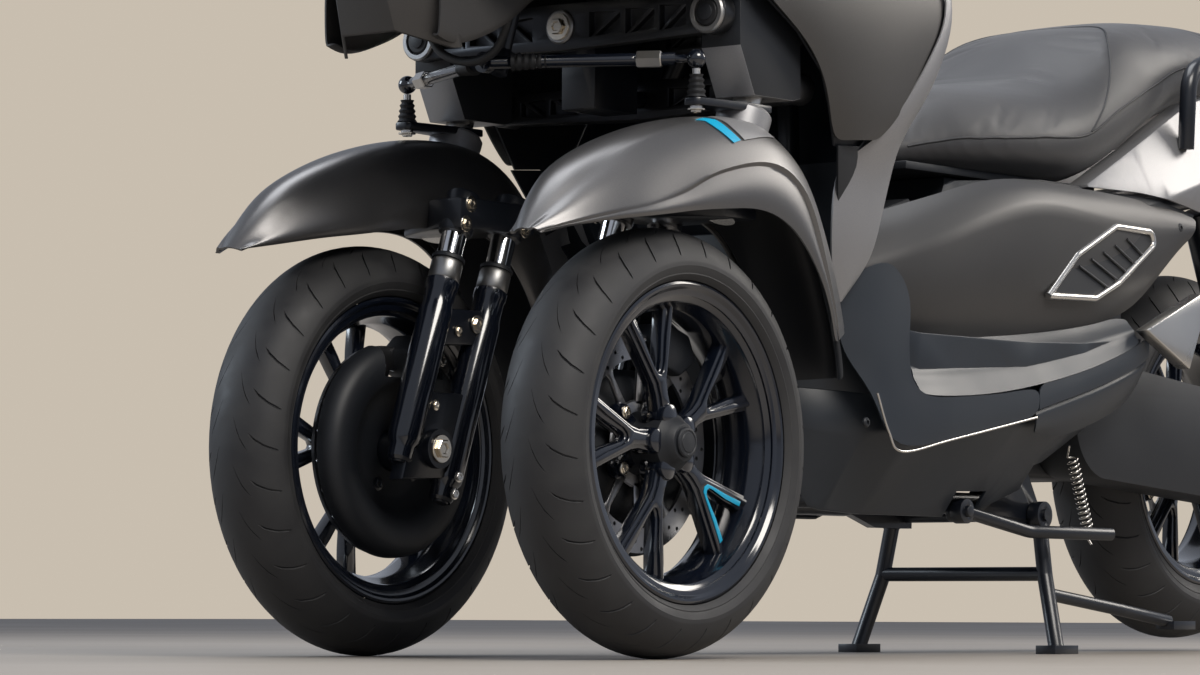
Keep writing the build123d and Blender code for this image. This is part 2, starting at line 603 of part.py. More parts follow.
# Centre stand: two legs with feet, a cross bar and the foot lever
leg_set = None
for side in (-1, 1):
    low, high = sorted((side * 117, side * 135))
    lug = rod((STAND_PIVOT_X, low, STAND_PIVOT_Z), (STAND_PIVOT_X, high, STAND_PIVOT_Z), 19)
    leg = bent_tube([(STAND_PIVOT_X, side * 126, STAND_PIVOT_Z - 14), (STAND_PIVOT_X + 6, side * 138, 110),
                     (STAND_FOOT_X, side * STAND_HALF, 8)], 11, 30)
    foot = block((STAND_FOOT_X - 32, side * STAND_HALF - 16, 0), (STAND_FOOT_X + 28, side * STAND_HALF + 16, 12))
    piece = lug + leg + foot
    leg_set = piece if leg_set is None else leg_set + piece
leg_set += rod((STAND_PIVOT_X + 6, -138, 112), (STAND_PIVOT_X + 6, 138, 112), 10)
leg_set += bent_tube([(STAND_PIVOT_X + 10, 145, 84), (-330, 178, 62), (-440, 190, 46)], 9, 60)
leg_set += block((-490, 176, 34), (-430, 206, 46))
leg_set -= rod((STAND_PIVOT_X, -200, STAND_PIVOT_Z), (STAND_PIVOT_X, 200, STAND_PIVOT_Z), 9 + RUNNING_GAP)
save(leg_set, "centre_stand")

# Side stand, folded up along the left rail
SIDE_STAND_X = 20.0
side_stand = rod((SIDE_STAND_X, 132, 196), (SIDE_STAND_X, 150, 196), 17)
side_stand += bent_tube([(SIDE_STAND_X - 4, 141, 196), (-120, 160, 170), (-262, 205, 168)], 9, 60)
side_stand -= rod((SIDE_STAND_X, 100, 196), (SIDE_STAND_X, 200, 196), 8 + RUNNING_GAP)
save(side_stand, "side_stand")
side_lug = rod((SIDE_STAND_X, 123, 196), (SIDE_STAND_X, 131.7, 196), 15)
side_lug += rod((SIDE_STAND_X, 123, 196), (SIDE_STAND_X, 156, 196), 8)
save(side_lug, "side_stand_lug")

# Engine, drive case, muffler, radiator, springs and pegs
engine = block((-470, -ENGINE_HALF, 250), (-170, ENGINE_HALF, 452))
save(engine, "engine_block")
CASE_FRONT_X = -330.0
CASE_FRONT_Z = 332.0
case = side_prism([(CASE_FRONT_X, CASE_FRONT_Z + 84), (REAR_AXLE_X, REAR_AXLE_Z + 78),
                   (REAR_AXLE_X, REAR_AXLE_Z - 78), (CASE_FRONT_X, CASE_FRONT_Z - 84)], 80, 158)
case += rod((CASE_FRONT_X, 80, CASE_FRONT_Z), (CASE_FRONT_X, 158, CASE_FRONT_Z), 84)
case += rod((REAR_AXLE_X, 80, REAR_AXLE_Z), (REAR_AXLE_X, 158, REAR_AXLE_Z), 78)
case += rod((REAR_AXLE_X, -100, REAR_AXLE_Z), (REAR_AXLE_X, 80, REAR_AXLE_Z), AXLE_RADIUS)
case += side_prism([(-450, 290), (-450, 380), (REAR_AXLE_X, REAR_AXLE_Z + 34), (REAR_AXLE_X - 30, REAR_AXLE_Z),
                    (REAR_AXLE_X, REAR_AXLE_Z - 34)], -98, -78.3)
save(case, "belt_case")
muffler = rod((-430, -172, 330), (-960, -205, 400), 56)
muffler += rod((-260, -102, 300), (-440, -170, 331), 22)
muffler += rod((-262, -ENGINE_HALF - SEAT_GAP, 300), (-262, -112, 300), 20)
save(muffler, "muffler")
save(block((348, -86.9, 330), (384, 86.9, 560)), "radiator")
springs = None
for side in (-1, 1):
    foot_z = 388 if side > 0 else 336
    shock = rod((REAR_AXLE_X - 20, side * 112, foot_z), (-660, side * 112, 657.8), 24)
    springs = shock if springs is None else springs + shock
save(springs, "rear_shocks")
pegs = None
for side in (-1, 1):
    peg = side_prism([(-275, 455), (-390, 405), (-400, 425), (-440, 500), (-425, 515)], 0, 22)
    peg = Pos(0, 236.9, 0) * peg
    if side < 0:
        peg = mirrored(peg)
    pegs = peg if pegs is None else pegs + peg
save(pegs, "passenger_pegs")

# Front bodywork: one tapering shell, cut away over the wheels and split at its seams
# columns: Z, then X and half width of the nose, the shoulder, the side and the rear edge
FRONT_SECTIONS = (
    (430.0, 700.0, 40.0, 600.0, 120.0, 420.0, 200.0, 396.0, 196.0),
    (500.0, 820.0, 44.0, 700.0, 140.0, 450.0, 218.0, 362.0, 212.0),
    (560.0, 930.0, 50.0, 800.0, 160.0, 480.0, 252.0, 378.0, 240.0),
    (650.0, 1030.0, 50.0, 850.0, 190.0, 520.0, 282.0, 396.0, 266.0),
    (735.0, 1092.0, 44.0, 920.0, 190.0, 560.0, 296.0, 325.0, 280.0),
    (840.0, NOSE_X, 36.0, 960.0, 180.0, 700.0, 299.0, 246.0, 286.0),
    (950.0, 1085.0, 70.0, 940.0, 205.0, 690.0, 287.0, 300.0, 266.0),
    (1002.0, 1034.0, 78.0, 916.0, 200.0, 660.0, 262.0, 560.0, 246.0),
    (1075.0, 950.0, 90.0, 880.0, 180.0, 760.0, 205.0, 700.0, 195.0),
)


def front_hull(wall):
    """The front body's outline, shrunk by a wall and then open at the rear."""
    sections = []
    for z, nose_x, nose, mid_x, mid, side_x, side, rear_x, rear in FRONT_SECTIONS:
        back = rear_x if wall == 0 else rear_x - 60
        height = z
        if wall and z == FRONT_SECTIONS[-1][0]:
            height = z - wall
        if wall and z == FRONT_SECTIONS[0][0]:
            height = z - 10
        sections.append((height, [(nose_x - wall, nose - wall * 0.5), (mid_x - wall * 0.6, mid - wall),
                                  (side_x, side - wall), (back, rear - wall)]))
    return hull_along_z(sections)


front_outer = front_hull(0)
front_shell = front_outer - front_hull(PANEL_WALL)
# Room for the wheels and fenders at full lean, inside the fairings' skin and outside it
INNER_ARCH = [(1300, 300), (405, 300), (405, 430), (408, 462), (418, 500), (434, 550), (412, 556), (412, 585),
              (440, 646), (500, 757), (532, 795), (560, 838), (1300, 838)]
OUTER_ARCH = [(1300, 300), (405, 300), (405, 430), (408, 462), (424, 500), (452, 556), (494, 646), (519, 698),
              (546, 741), (600, 786), (660, 817), (720, 838), (1300, 838)]
BEAK_LINE = [(1300, 300), (405, 300), (405, 600), (440, 646), (500, 757), (560, 838), (720, 838), (780, 806),
             (870, 775), (950, 745), (1040, BEAK_BOTTOM_Z), (1092, 752), (1300, 830)]
SKIN_SPLIT = 250.0
for side in (-1, 1):
    for outline, inner_y, outer_y in ((INNER_ARCH, BEAK_HALF, SKIN_SPLIT), (OUTER_ARCH, SKIN_SPLIT, 420)):
        low, high = sorted((side * inner_y, side * outer_y))
        front_shell -= side_prism(outline, low, high)
front_shell -= side_prism(BEAK_LINE, -BEAK_HALF, BEAK_HALF)
LAMP_OUTLINE = [(52, 852), (150, 872), (208, 930), (196, 952), (120, 930), (60, 896)]
lamp_zone = front_prism(LAMP_OUTLINE, 850, 1200) + front_prism([(-y, z) for y, z in LAMP_OUTLINE], 850, 1200)
save(front_shell & lamp_zone, "headlamps")
front_shell -= lamp_zone
SEAM = [(0, 200), (716, 200), (716, 838), (790, 1100), (0, 1100)]
seam_zone = side_prism(SEAM, -420, 420)
save(front_shell - seam_zone, "front_cowl")
sides = front_shell & seam_zone
STRIP = [(100, 300), (620, 300), (620, 642), (440, 655), (400, 690), (362, 735), (285, 840), (278, 930), (150, 930)]
strip_zone = side_prism(STRIP, -420, 420)
save(sides & strip_zone, "fairing_strips")
save(sides - strip_zone, "fairings")

# Leg shield: bulges towards the rider behind the front body, with a hole for the column
# one bulge for each row of FRONT_SECTIONS
SHIELD_BULGE = (70.0, 66.0, 70.0, 66.0, 38.0, 6.0, 28.0, 20.0, 12.0)


def shield_hull(wall):
    """The leg shield's outline, shrunk by a wall and then open at the front."""
    sections = []
    for row, bulge in zip(FRONT_SECTIONS, SHIELD_BULGE):
        z, rear_x, rear = row[0], row[7], row[8]
        front_x = rear_x - SEAT_GAP if wall == 0 else rear_x + 20
        sections.append((z, [(front_x, rear - 1 - wall), (rear_x - bulge + wall, rear - 1 - wall - bulge * 0.6)]))
    return hull_along_z(sections)


leg_shield = shield_hull(0) - shield_hull(PANEL_WALL)
leg_shield -= rod((column_x(960), 0, 960), (column_x(1080), 0, 1080), COLUMN_RADIUS + 8)
leg_shield -= block((BAR_X - 40, -60, HANDLEBAR_Z - 26), (BAR_X + 40, 60, HANDLEBAR_Z + 30))

# Windscreen, and the instrument panel below it
# columns: Z, X and half width at the front, X and half width at the rear edge
SCREEN_SECTIONS = (
    (1075.3, 938.0, 60.0, 840.0, 172.0),
    (1260.0, 822.0, 64.0, 735.0, 176.0),
    (HEIGHT, 700.0, 50.0, 640.0, 118.0),
)
screen_outer = hull_along_z([(z, [(f, fh), (r, rh)]) for z, f, fh, r, rh in SCREEN_SECTIONS])
screen_inner = hull_along_z([(z, [(f - SCREEN_WALL * 1.4, fh), (r - 10, rh)]) for z, f, fh, r, rh in SCREEN_SECTIONS])
save(screen_outer - screen_inner, "windscreen")
save(side_prism([(716, 1075 + SEAT_GAP), (840, 1075 + SEAT_GAP), (780, 1150), (700, 1132)], -88, 88), "instruments")

# Lower bodywork: side cowls under the floor, and the floor boards above them
# columns: X, half width and Z at the bottom, at the side and at the top
LOWER_SECTIONS = (
    (403.0, 105.0, 205.0, 138.0, 300.0, 146.0, 446.0),
    (330.0, 135.0, 192.0, 200.0, 292.0, 208.0, 438.0),
    (250.0, 140.0, 188.0, 230.0, 300.0, 240.0, 426.0),
    (0.0, 140.0, 188.0, 234.0, 325.0, 246.0, 426.0),
    (-150.0, 146.0, 235.0, 232.0, 350.0, 244.0, 432.0),
    (-310.0, 160.0, 330.0, 222.0, 396.0, 236.0, 446.0),
)


def lower_hull(wall):
    """The lower body's outline, shrunk by a wall."""
    rows = []
    for x, low, low_z, side, side_z, top, top_z in LOWER_SECTIONS:
        rows.append((x, [(low - wall, low_z + wall), (side - wall, side_z), (top - wall, top_z - wall)]))
    return hull_along_x(rows)


lower_shell = lower_hull(0) - lower_hull(PANEL_WALL)
SKIRT_LINE = [(500, 360), (300, 341), (-15, 367), (-285, 378), (-400, 385), (-400, 120), (500, 120)]
skirt_zone = side_prism(SKIRT_LINE, -420, 420)
lower_shell -= block((-420, -126, 150), (396, 126, 500))
lower_shell -= block((-420, -170, 150), (-130, 170, 500))
lower_shell -= block((SIDE_STAND_X - 44, 120, 170), (SIDE_STAND_X + 34, 164, 224))
save(lower_shell & skirt_zone, "lower_cowls")
save(lower_shell - skirt_zone, "floor_panels")
save(leg_shield - lower_hull(-1.0), "leg_shield")

# Upper bodywork: tunnel, side panels and rear cowls, split from one tapering shell
# columns: X, half width and Z at the base, the belt and the top rail
UPPER_SECTIONS = (
    (382.0, 122.0, 428.0, 120.0, 540.0, 70.0, 575.0),
    (180.0, 124.0, 428.0, 130.0, 560.0, 90.0, 592.0),
    (60.0, 172.0, 430.0, 190.0, 590.0, 168.0, 646.0),
    (-120.0, 205.0, 440.0, 224.0, 600.0, 190.0, 660.0),
    (-218.0, 212.0, 450.0, 228.0, 610.0, 192.0, 658.0),
    (-353.0, 212.0, 480.0, 228.0, 640.0, 188.0, 722.0),
    (-521.0, 192.0, 560.0, 218.0, 690.0, 180.0, 802.0),
    (-800.0, 140.0, 690.0, 172.0, 770.0, 146.0, 866.0),
    (-1010.0, 96.0, 770.0, 116.0, 820.0, 96.0, 886.0),
)


def upper_hull(wall):
    """The upper body's outline, shrunk by a wall."""
    rows = []
    for x, base, base_z, belt, belt_z, top, top_z in UPPER_SECTIONS:
        low_z = base_z if wall == 0 else base_z - 20
        rows.append((x, [(base - wall, low_z), (belt - wall, belt_z), (top - wall, top_z - wall)]))
    return hull_along_x(rows)


upper_shell = upper_hull(0) - upper_hull(PANEL_WALL)
TUNNEL_END_X = 178.0
tunnel = upper_shell & block((TUNNEL_END_X, -150, 400), (400, 150, 700))
tunnel -= Pos(-SEAT_GAP * 3, 0, 0) * shield_hull(0) + block((330, -150, 400), (400, 150, 700))
save(tunnel, "tunnel")
# columns: X and half width of the mouth below the seat
SEAT_MOUTH = ((120.0, 158.0), (-353.0, 158.0), (-521.0, 140.0), (-800.0, 100.0), (-1020.0, 62.0))
upper_shell -= hull_along_x([(x, [(half, 580), (half, 920)]) for x, half in SEAT_MOUTH])

# Seat: hinged at its front over the storage tub
# columns: X, base Z, edge Z, half width and Z at the side, half width and Z at the top
SEAT_SECTIONS = (
    (206.0, 640.0, 644.0, 96.0, 664.0, 60.0, 706.0),
    (60.0, 657.0, 660.0, 176.0, 704.0, 112.0, 782.0),
    (-120.0, 657.0, 672.0, 206.0, 716.0, 150.0, SEAT_HEIGHT),
    (-218.0, 657.0, 672.0, 210.0, 724.0, 158.0, 808.0),
    (-300.0, 657.0, 708.0, 208.0, 764.0, 150.0, 862.0),
    (-360.0, 690.0, 732.0, 204.0, 790.0, 140.0, 910.0),
    (-521.0, 770.0, 812.0, 184.0, 850.0, 140.0, 930.0),
    (-830.0, 850.0, 878.0, 130.0, 900.0, 96.0, 946.0),
)
seat_rows = []
for x, base_z, edge_z, side, side_z, top, top_z in SEAT_SECTIONS:
    inner = min(150.0, side - 30)
    seat_rows.append((x, [(inner, base_z), (inner, edge_z), (side - 8, edge_z), (side, side_z), (top, top_z)]))
seat = hull_along_x(seat_rows)
upper_shell -= Pos(0, 0, -PANEL_GAP) * seat


def hinge_rod(y_low, y_high, radius):
    """Round piece on the seat's hinge axis."""
    return rod((SEAT_HINGE_X, y_low, SEAT_HINGE_Z), (SEAT_HINGE_X, y_high, SEAT_HINGE_Z), radius)


seat -= hinge_rod(-HINGE_LUG_Y - 12, -HINGE_EYE_HALF, HINGE_EYE_RADIUS + 5)
seat -= hinge_rod(HINGE_EYE_HALF, HINGE_LUG_Y + 12, HINGE_EYE_RADIUS + 5)
seat += hinge_rod(-HINGE_EYE_HALF, HINGE_EYE_HALF, HINGE_EYE_RADIUS)
seat -= hinge_rod(-60, 60, HINGE_PIN_RADIUS + RUNNING_GAP)
save(seat, "seat")

# Seams of the upper bodywork, seen from the side
SIDE_OUTLINE = [(TUNNEL_END_X - SEAT_GAP, 400), (-187, 462), (-274, 492), (-470, 593), (-500, 636), (-325, 651),
                (-221, 653), (-200, 700), (TUNNEL_END_X - SEAT_GAP, 700)]
REAR_OUTLINE = [(-224, 657), (-325, 655), (-500, 640), (-620, 640), (-1100, 760), (-1100, 950), (-224, 950)]
side_panels = upper_shell & side_prism(SIDE_OUTLINE, -300, 300)
for side in (-1, 1):
    low, high = sorted((side * HINGE_LUG_Y, side * (HINGE_LUG_Y + HINGE_LUG_WALL)))
    side_panels += side_prism([(163, 593), (177, 593), (180, SEAT_HINGE_Z), (163, SEAT_HINGE_Z)], low, high)
    side_panels += hinge_rod(low, high, HINGE_EYE_RADIUS)
side_panels += hinge_rod(-HINGE_LUG_Y - HINGE_LUG_WALL, HINGE_LUG_Y + HINGE_LUG_WALL, HINGE_PIN_RADIUS)
save(side_panels, "side_panels")
save(upper_shell & side_prism(REAR_OUTLINE, -300, 300), "rear_cowls")

# Storage tub: open box below the seat
tub = block((-430, -TUB_HALF, TUB_LOW_Z), (30, TUB_HALF, TUB_TOP_Z))
tub -= block((-425, 5 - TUB_HALF, TUB_LOW_Z + 5), (25, TUB_HALF - 5, TUB_TOP_Z + 10))
save(tub, "storage_tub")

# Tail: lamp, mudguard with a plate board, and grab rails
TAIL_PANEL_X = UPPER_SECTIONS[-1][0]
lamp = side_prism([(TAIL_PANEL_X - SEAT_GAP, 800), (-1040, 806), (-1046, 850), (TAIL_PANEL_X - SEAT_GAP, 868)],
                  -104, 104)
save(lamp, "tail_lamp")
guard = side_prism([(-893, 740.4), (-893, 732 + SEAT_GAP), (-905, 732 + SEAT_GAP), (-1010, 690), (TAIL_X, 430), (TAIL_X, 445), (-1018, 705)], -75, 75)
# the board for the number plate stands upright on the guard, with two holes
guard += block((BOARD_X, -BOARD_HALF, 500), (BOARD_X + BOARD_WALL, BOARD_HALF, 620))
for y in (-BOARD_PITCH / 2, BOARD_PITCH / 2):
    guard -= rod((BOARD_X - 40, y, BOARD_HOLE_Z), (BOARD_X + 40, y, BOARD_HOLE_Z), BOARD_HOLE_RADIUS)
save(guard, "rear_mudguard")
rails = None
for side in (-1, 1):
    piece = bent_tube([(-470, side * 206, 730), (-470, side * 212, 842), (-640, side * 204, 905),
                       (-940, side * 122, 930), (-985, side * 84, 925), (-985, side * 74, 860)], 12, 40)
    piece -= upper_hull(-SEAT_GAP)
    rails = piece if rails is None else rails + piece
rails += plan_prism([(CARRIER_X + 50, -142), (CARRIER_X + 50, 142), (CARRIER_X - 55, 112), (CARRIER_X - 55, -112)],
                    CARRIER_TOP_Z - 8, CARRIER_TOP_Z)
for x in (CARRIER_X - CARRIER_PITCH_X / 2, CARRIER_X + CARRIER_PITCH_X / 2):
    for y in (-CARRIER_PITCH_Y / 2, CARRIER_PITCH_Y / 2):
        rails -= rod((x, y, CARRIER_TOP_Z - 20), (x, y, CARRIER_TOP_Z + 20), CARRIER_HOLE_RADIUS)
save(rails, "grab_rails")

# Stand spring
spring = rod((STAND_PIVOT_X - 16, 167.3, 150), (-268, 167.3, 296), 9)
save(spring, "stand_spring")
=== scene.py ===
import json
import math

import bmesh
import bpy
from mathutils import Matrix, Vector
from mathutils.bvhtree import BVHTree
from mathutils.kdtree import KDTree


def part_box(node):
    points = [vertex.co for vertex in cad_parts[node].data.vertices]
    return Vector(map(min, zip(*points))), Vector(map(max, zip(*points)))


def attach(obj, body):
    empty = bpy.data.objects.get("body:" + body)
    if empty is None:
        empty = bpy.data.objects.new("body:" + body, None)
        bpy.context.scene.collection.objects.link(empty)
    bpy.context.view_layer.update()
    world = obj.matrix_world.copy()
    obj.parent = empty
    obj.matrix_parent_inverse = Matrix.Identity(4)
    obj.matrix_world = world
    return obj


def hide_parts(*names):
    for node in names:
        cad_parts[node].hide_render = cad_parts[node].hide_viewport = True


# Looks of a leaning reverse trike scooter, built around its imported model.
# Lengths are in millimetres and are turned into metres when a mesh is made.

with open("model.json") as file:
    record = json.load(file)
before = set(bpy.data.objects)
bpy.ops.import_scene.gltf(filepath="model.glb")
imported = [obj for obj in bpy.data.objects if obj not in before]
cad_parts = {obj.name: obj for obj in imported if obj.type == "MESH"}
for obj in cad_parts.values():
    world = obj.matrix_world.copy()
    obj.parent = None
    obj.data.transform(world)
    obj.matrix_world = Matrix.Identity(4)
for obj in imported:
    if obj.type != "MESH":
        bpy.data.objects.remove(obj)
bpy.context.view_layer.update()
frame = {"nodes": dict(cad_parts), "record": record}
MM = 0.001
WELD = 0.01
X_AXIS = (1, 0, 0)
Y_AXIS = (0, 1, 0)
Z_AXIS = (0, 0, 1)
NODES = frame["nodes"]


# Mesh helpers

def link(name, data):
    """Object in the scene from its data."""
    obj = bpy.data.objects.new(name, data)
    bpy.context.scene.collection.objects.link(obj)
    return obj


def make(name, points, faces):
    """Mesh object from points in millimetres."""
    mesh = bpy.data.meshes.new(name)
    mesh.from_pydata([tuple(Vector(p) * MM) for p in points], [], faces)
    mesh.validate()
    return link(name, mesh)


def grid_faces(rows, columns, ring_rows=False, ring_columns=False):
    """Four-sided faces over a grid of points; a ring comes round to its first row or column."""
    faces = []
    for i in range(rows if ring_rows else rows - 1):
        here = i * columns
        there = (i + 1) % rows * columns
        for j in range(columns if ring_columns else columns - 1):
            beside = (j + 1) % columns
            faces.append((here + j, here + beside, there + beside, there + j))
    return faces


def settle(obj):
    """Turn an object with modifiers into a plain mesh."""
    graph = bpy.context.evaluated_depsgraph_get()
    graph.update()
    mesh = bpy.data.meshes.new_from_object(obj.evaluated_get(graph))
    obj.modifiers.clear()
    obj.data = mesh
    return obj


def shade(obj, angle):
    """Smooth shading that breaks at edges sharper than the angle."""
    obj.data.shade_smooth()
    obj.data.set_sharp_from_angle(angle=math.radians(angle))
    return obj


def round_edges(obj, width):
    """Rounded edges, in millimetres, wherever faces meet sharply."""
    bevel = obj.modifiers.new("bevel", "BEVEL")
    bevel.width = width * MM
    bevel.segments = 2
    bevel.limit_method = "ANGLE"
    bevel.angle_limit = math.radians(32.0)
    settle(obj)
    return shade(obj, 40.0)


def subdivide(obj, levels):
    """Smooth subdivision of a control mesh."""
    obj.modifiers.new("subdivision", "SUBSURF").levels = levels
    settle(obj)
    return shade(obj, 50.0)


def thicken(obj, wall, offset=-1.0):
    """Give a surface a wall."""
    solidify = obj.modifiers.new("wall", "SOLIDIFY")
    solidify.thickness = wall * MM
    solidify.offset = offset
    return settle(obj)


def recalculate(obj, weld=0.0):
    """Join points closer than a distance in millimetres, and make the faces look outward."""
    bm = bmesh.new()
    bm.from_mesh(obj.data)
    if weld:
        bmesh.ops.remove_doubles(bm, verts=bm.verts, dist=weld * MM)
    bmesh.ops.recalc_face_normals(bm, faces=bm.faces)
    bm.to_mesh(obj.data)
    bm.free()
    return obj


def remove(obj):
    """Delete a helper object."""
    bpy.data.objects.remove(obj)


def cut(obj, tool):
    """Take one closed mesh out of another."""
    boolean = obj.modifiers.new("cut", "BOOLEAN")
    boolean.operation = "DIFFERENCE"
    boolean.solver = "EXACT"
    boolean.object = tool
    settle(obj)
    remove(tool)
    return obj


def join(name, parts):
    """One mesh from several, with the material of each kept."""
    bm = bmesh.new()
    materials = []
    for part in parts:
        slots = []
        for material in part.data.materials:
            if material not in materials:
                materials.append(material)
            slots.append(materials.index(material))
        start = len(bm.faces)
        bm.from_mesh(part.data)
        bm.faces.ensure_lookup_table()
        if slots:
            for face in bm.faces[start:]:
                face.material_index = slots[face.material_index]
        remove(part)
    mesh = bpy.data.meshes.new(name)
    bm.to_mesh(mesh)
    bm.free()
    for material in materials:
        mesh.materials.append(material)
    return link(name, mesh)


def paint(obj, material):
    """Give an object one material."""
    obj.data.materials.clear()
    obj.data.materials.append(material)
    for polygon in obj.data.polygons:
        polygon.material_index = 0
    return obj


def place(obj, body, nodes=()):
    """Let a piece ride on a body and, if named, stand for CAD nodes."""
    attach(obj, body)
    if nodes:
        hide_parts(*nodes)
    return obj


def mirror_copy(obj, name):
    """The same piece on the other side of the vehicle."""
    twin = obj.copy()
    twin.data = obj.data.copy()
    twin.name = name
    bpy.context.scene.collection.objects.link(twin)
    twin.data.transform(Matrix.Diagonal((1, -1, 1, 1)))
    twin.data.flip_normals()
    return twin


def smoothstep(low, high, value):
    """Soft step from 0 to 1."""
    t = min(max((value - low) / (high - low), 0.0), 1.0)
    return t * t * (3 - 2 * t)


def frame_of(direction):
    """Two unit vectors square to a direction."""
    direction = Vector(direction).normalized()
    helper = Vector((0, 0, 1)) if abs(direction.z) < 0.9 else Vector((1, 0, 0))
    side = direction.cross(helper).normalized()
    return side, direction.cross(side).normalized()


def lathe(name, profile, centre, axis, segments):
    """Turned form: profile rows are (radius, distance along the axis)."""
    axis = Vector(axis).normalized()
    side, up = frame_of(axis)
    centre = Vector(centre)
    points = []
    for i in range(segments):
        turn = 2 * math.pi * i / segments
        out = side * math.cos(turn) + up * math.sin(turn)
        points += [centre + out * radius + axis * along for radius, along in profile]
    obj = make(name, points, grid_faces(segments, len(profile), ring_rows=True))
    return shade(recalculate(obj, WELD), 32.0)


def moved_along(profile, distance):
    """A profile moved along its axis."""
    return [(radius, along + distance) for radius, along in profile]


def round_path(points, radius, steps):
    """Straight runs joined by arcs."""
    path = [points[0]]
    for before, corner, after in zip(points, points[1:], points[2:]):
        inward = (before - corner).normalized()
        outward = (after - corner).normalized()
        half = inward.angle(outward) / 2
        room = 0.48 * min((before - corner).length, (after - corner).length)
        trim = min(radius / math.tan(half), room)
        start = corner + inward * trim
        end = corner + outward * trim
        for i in range(steps + 1):
            t = i / steps
            path.append(start * (1 - t) ** 2 + corner * 2 * t * (1 - t) + end * t * t)
    path.append(points[-1])
    return path


def smooth_path(points, steps):
    """Flowing line through the points."""
    points = [Vector(p) for p in points]
    ends = [points[0] * 2 - points[1]] + points + [points[-1] * 2 - points[-2]]
    path = []
    for p0, p1, p2, p3 in zip(ends, ends[1:], ends[2:], ends[3:]):
        for i in range(steps):
            t = i / steps
            path.append(0.5 * (p1 * 2 + (p2 - p0) * t + (p0 * 2 - p1 * 5 + p2 * 4 - p3) * t * t
                               + (p1 * 3 - p0 - p2 * 3 + p3) * t ** 3))
    path.append(points[-1])
    return path


def sweep(name, path, radius, sides):
    """Round bar along a path; radius is one value or a list with one for each point."""
    path = [Vector(p) for p in path]
    radii = radius if isinstance(radius, list) else [radius] * len(path)
    side = frame_of((path[1] - path[0]).normalized())[0]
    last = len(path) - 1
    points = []
    for i, point in enumerate(path):
        tangent = (path[min(i + 1, last)] - path[max(i - 1, 0)]).normalized()
        side = (side - tangent * side.dot(tangent)).normalized()
        up = tangent.cross(side)
        for j in range(sides):
            turn = 2 * math.pi * j / sides
            points.append(point + (side * math.cos(turn) + up * math.sin(turn)) * radii[i])
    faces = grid_faces(len(path), sides, ring_columns=True)
    faces.append(tuple(reversed(range(sides))))
    faces.append(tuple(range(last * sides, (last + 1) * sides)))
    return shade(make(name, points, faces), 50.0)


def plate(name, outline, origin, across, up, depth, bevel):
    """Flat plate: an outline in the plane of two directions, pushed along their cross product."""
    across = Vector(across).normalized()
    up = Vector(up).normalized()
    normal = across.cross(up)
    origin = Vector(origin)
    low = [origin + across * u + up * v for u, v in outline]
    high = [p + normal * depth for p in low]
    count = len(outline)
    faces = [tuple(reversed(range(count))), tuple(range(count, 2 * count))]
    obj = recalculate(make(name, low + high, faces + grid_faces(2, count, ring_columns=True)))
    if bevel:
        round_edges(obj, bevel)
    return obj


def box_piece(name, low, high, bevel):
    """Block between two corners."""
    size = Vector(high) - Vector(low)
    outline = [(0, 0), (size.x, 0), (size.x, size.y), (0, size.y)]
    return plate(name, outline, low, X_AXIS, Y_AXIS, size.z, bevel)


def patch(name, rows):
    """Surface through rows of points."""
    points = [p for row in rows for p in row]
    return make(name, points, grid_faces(len(rows), len(rows[0])))


def bolt(point, axis, size, material, washer=1.6):
    """Hexagon head on a washer, whose radius is given in sizes of the bolt."""
    height = size * 0.62
    head = [(0, 0), (size * 1.02, 0), (size * 1.02, height * 0.82), (size * 0.9, height),
            (size * 0.62, height), (size * 0.5, height * 0.7), (0, height * 0.7)]
    ring = [(0, -0.5), (size * washer, -0.5), (size * washer, size * 0.16),
            (size * washer - 0.6, size * 0.22), (0, size * 0.22)]
    hexagon = lathe("bolt", head, point, axis, 6)
    hexagon.data.shade_flat()
    return paint(join("bolt", [hexagon, lathe("washer", ring, point, axis, 28)]), material)


def screw(point, axis, size, material):
    """Round head with a recess."""
    head = [(0, -0.5), (size, -0.5), (size, size * 0.3), (size * 0.8, size * 0.55),
            (size * 0.45, size * 0.62), (size * 0.4, size * 0.2), (0, size * 0.2)]
    return paint(lathe("screw", head, point, axis, 20), material)


# Materials

def noise(tree, scale, detail):
    """Grey noise on object coordinates."""
    coords = tree.nodes.new("ShaderNodeTexCoord")
    texture = tree.nodes.new("ShaderNodeTexNoise")
    texture.inputs["Scale"].default_value = scale
    texture.inputs["Detail"].default_value = detail
    tree.links.new(coords.outputs["Object"], texture.inputs["Vector"])
    return texture.outputs["Fac"]


def ramp(tree, source, low, high, low_at=0.35, high_at=0.65):
    """Two colours mixed by a grey value."""
    colours = tree.nodes.new("ShaderNodeValToRGB")
    colours.color_ramp.elements[0].position = low_at
    colours.color_ramp.elements[0].color = (*low, 1)
    colours.color_ramp.elements[1].position = high_at
    colours.color_ramp.elements[1].color = (*high, 1)
    tree.links.new(source, colours.inputs["Fac"])
    return colours.outputs["Color"]


def spread(tree, source, low, high):
    """A grey value mapped to a range."""
    mapper = tree.nodes.new("ShaderNodeMapRange")
    mapper.inputs["From Min"].default_value = 0.3
    mapper.inputs["From Max"].default_value = 0.7
    mapper.inputs["To Min"].default_value = low
    mapper.inputs["To Max"].default_value = high
    tree.links.new(source, mapper.inputs["Value"])
    return mapper.outputs["Result"]


def bump(tree, shader, source, strength, distance):
    """Fine relief."""
    relief = tree.nodes.new("ShaderNodeBump")
    relief.inputs["Strength"].default_value = strength
    relief.inputs["Distance"].default_value = distance * MM
    tree.links.new(source, relief.inputs["Height"])
    tree.links.new(relief.outputs["Normal"], shader.inputs["Normal"])


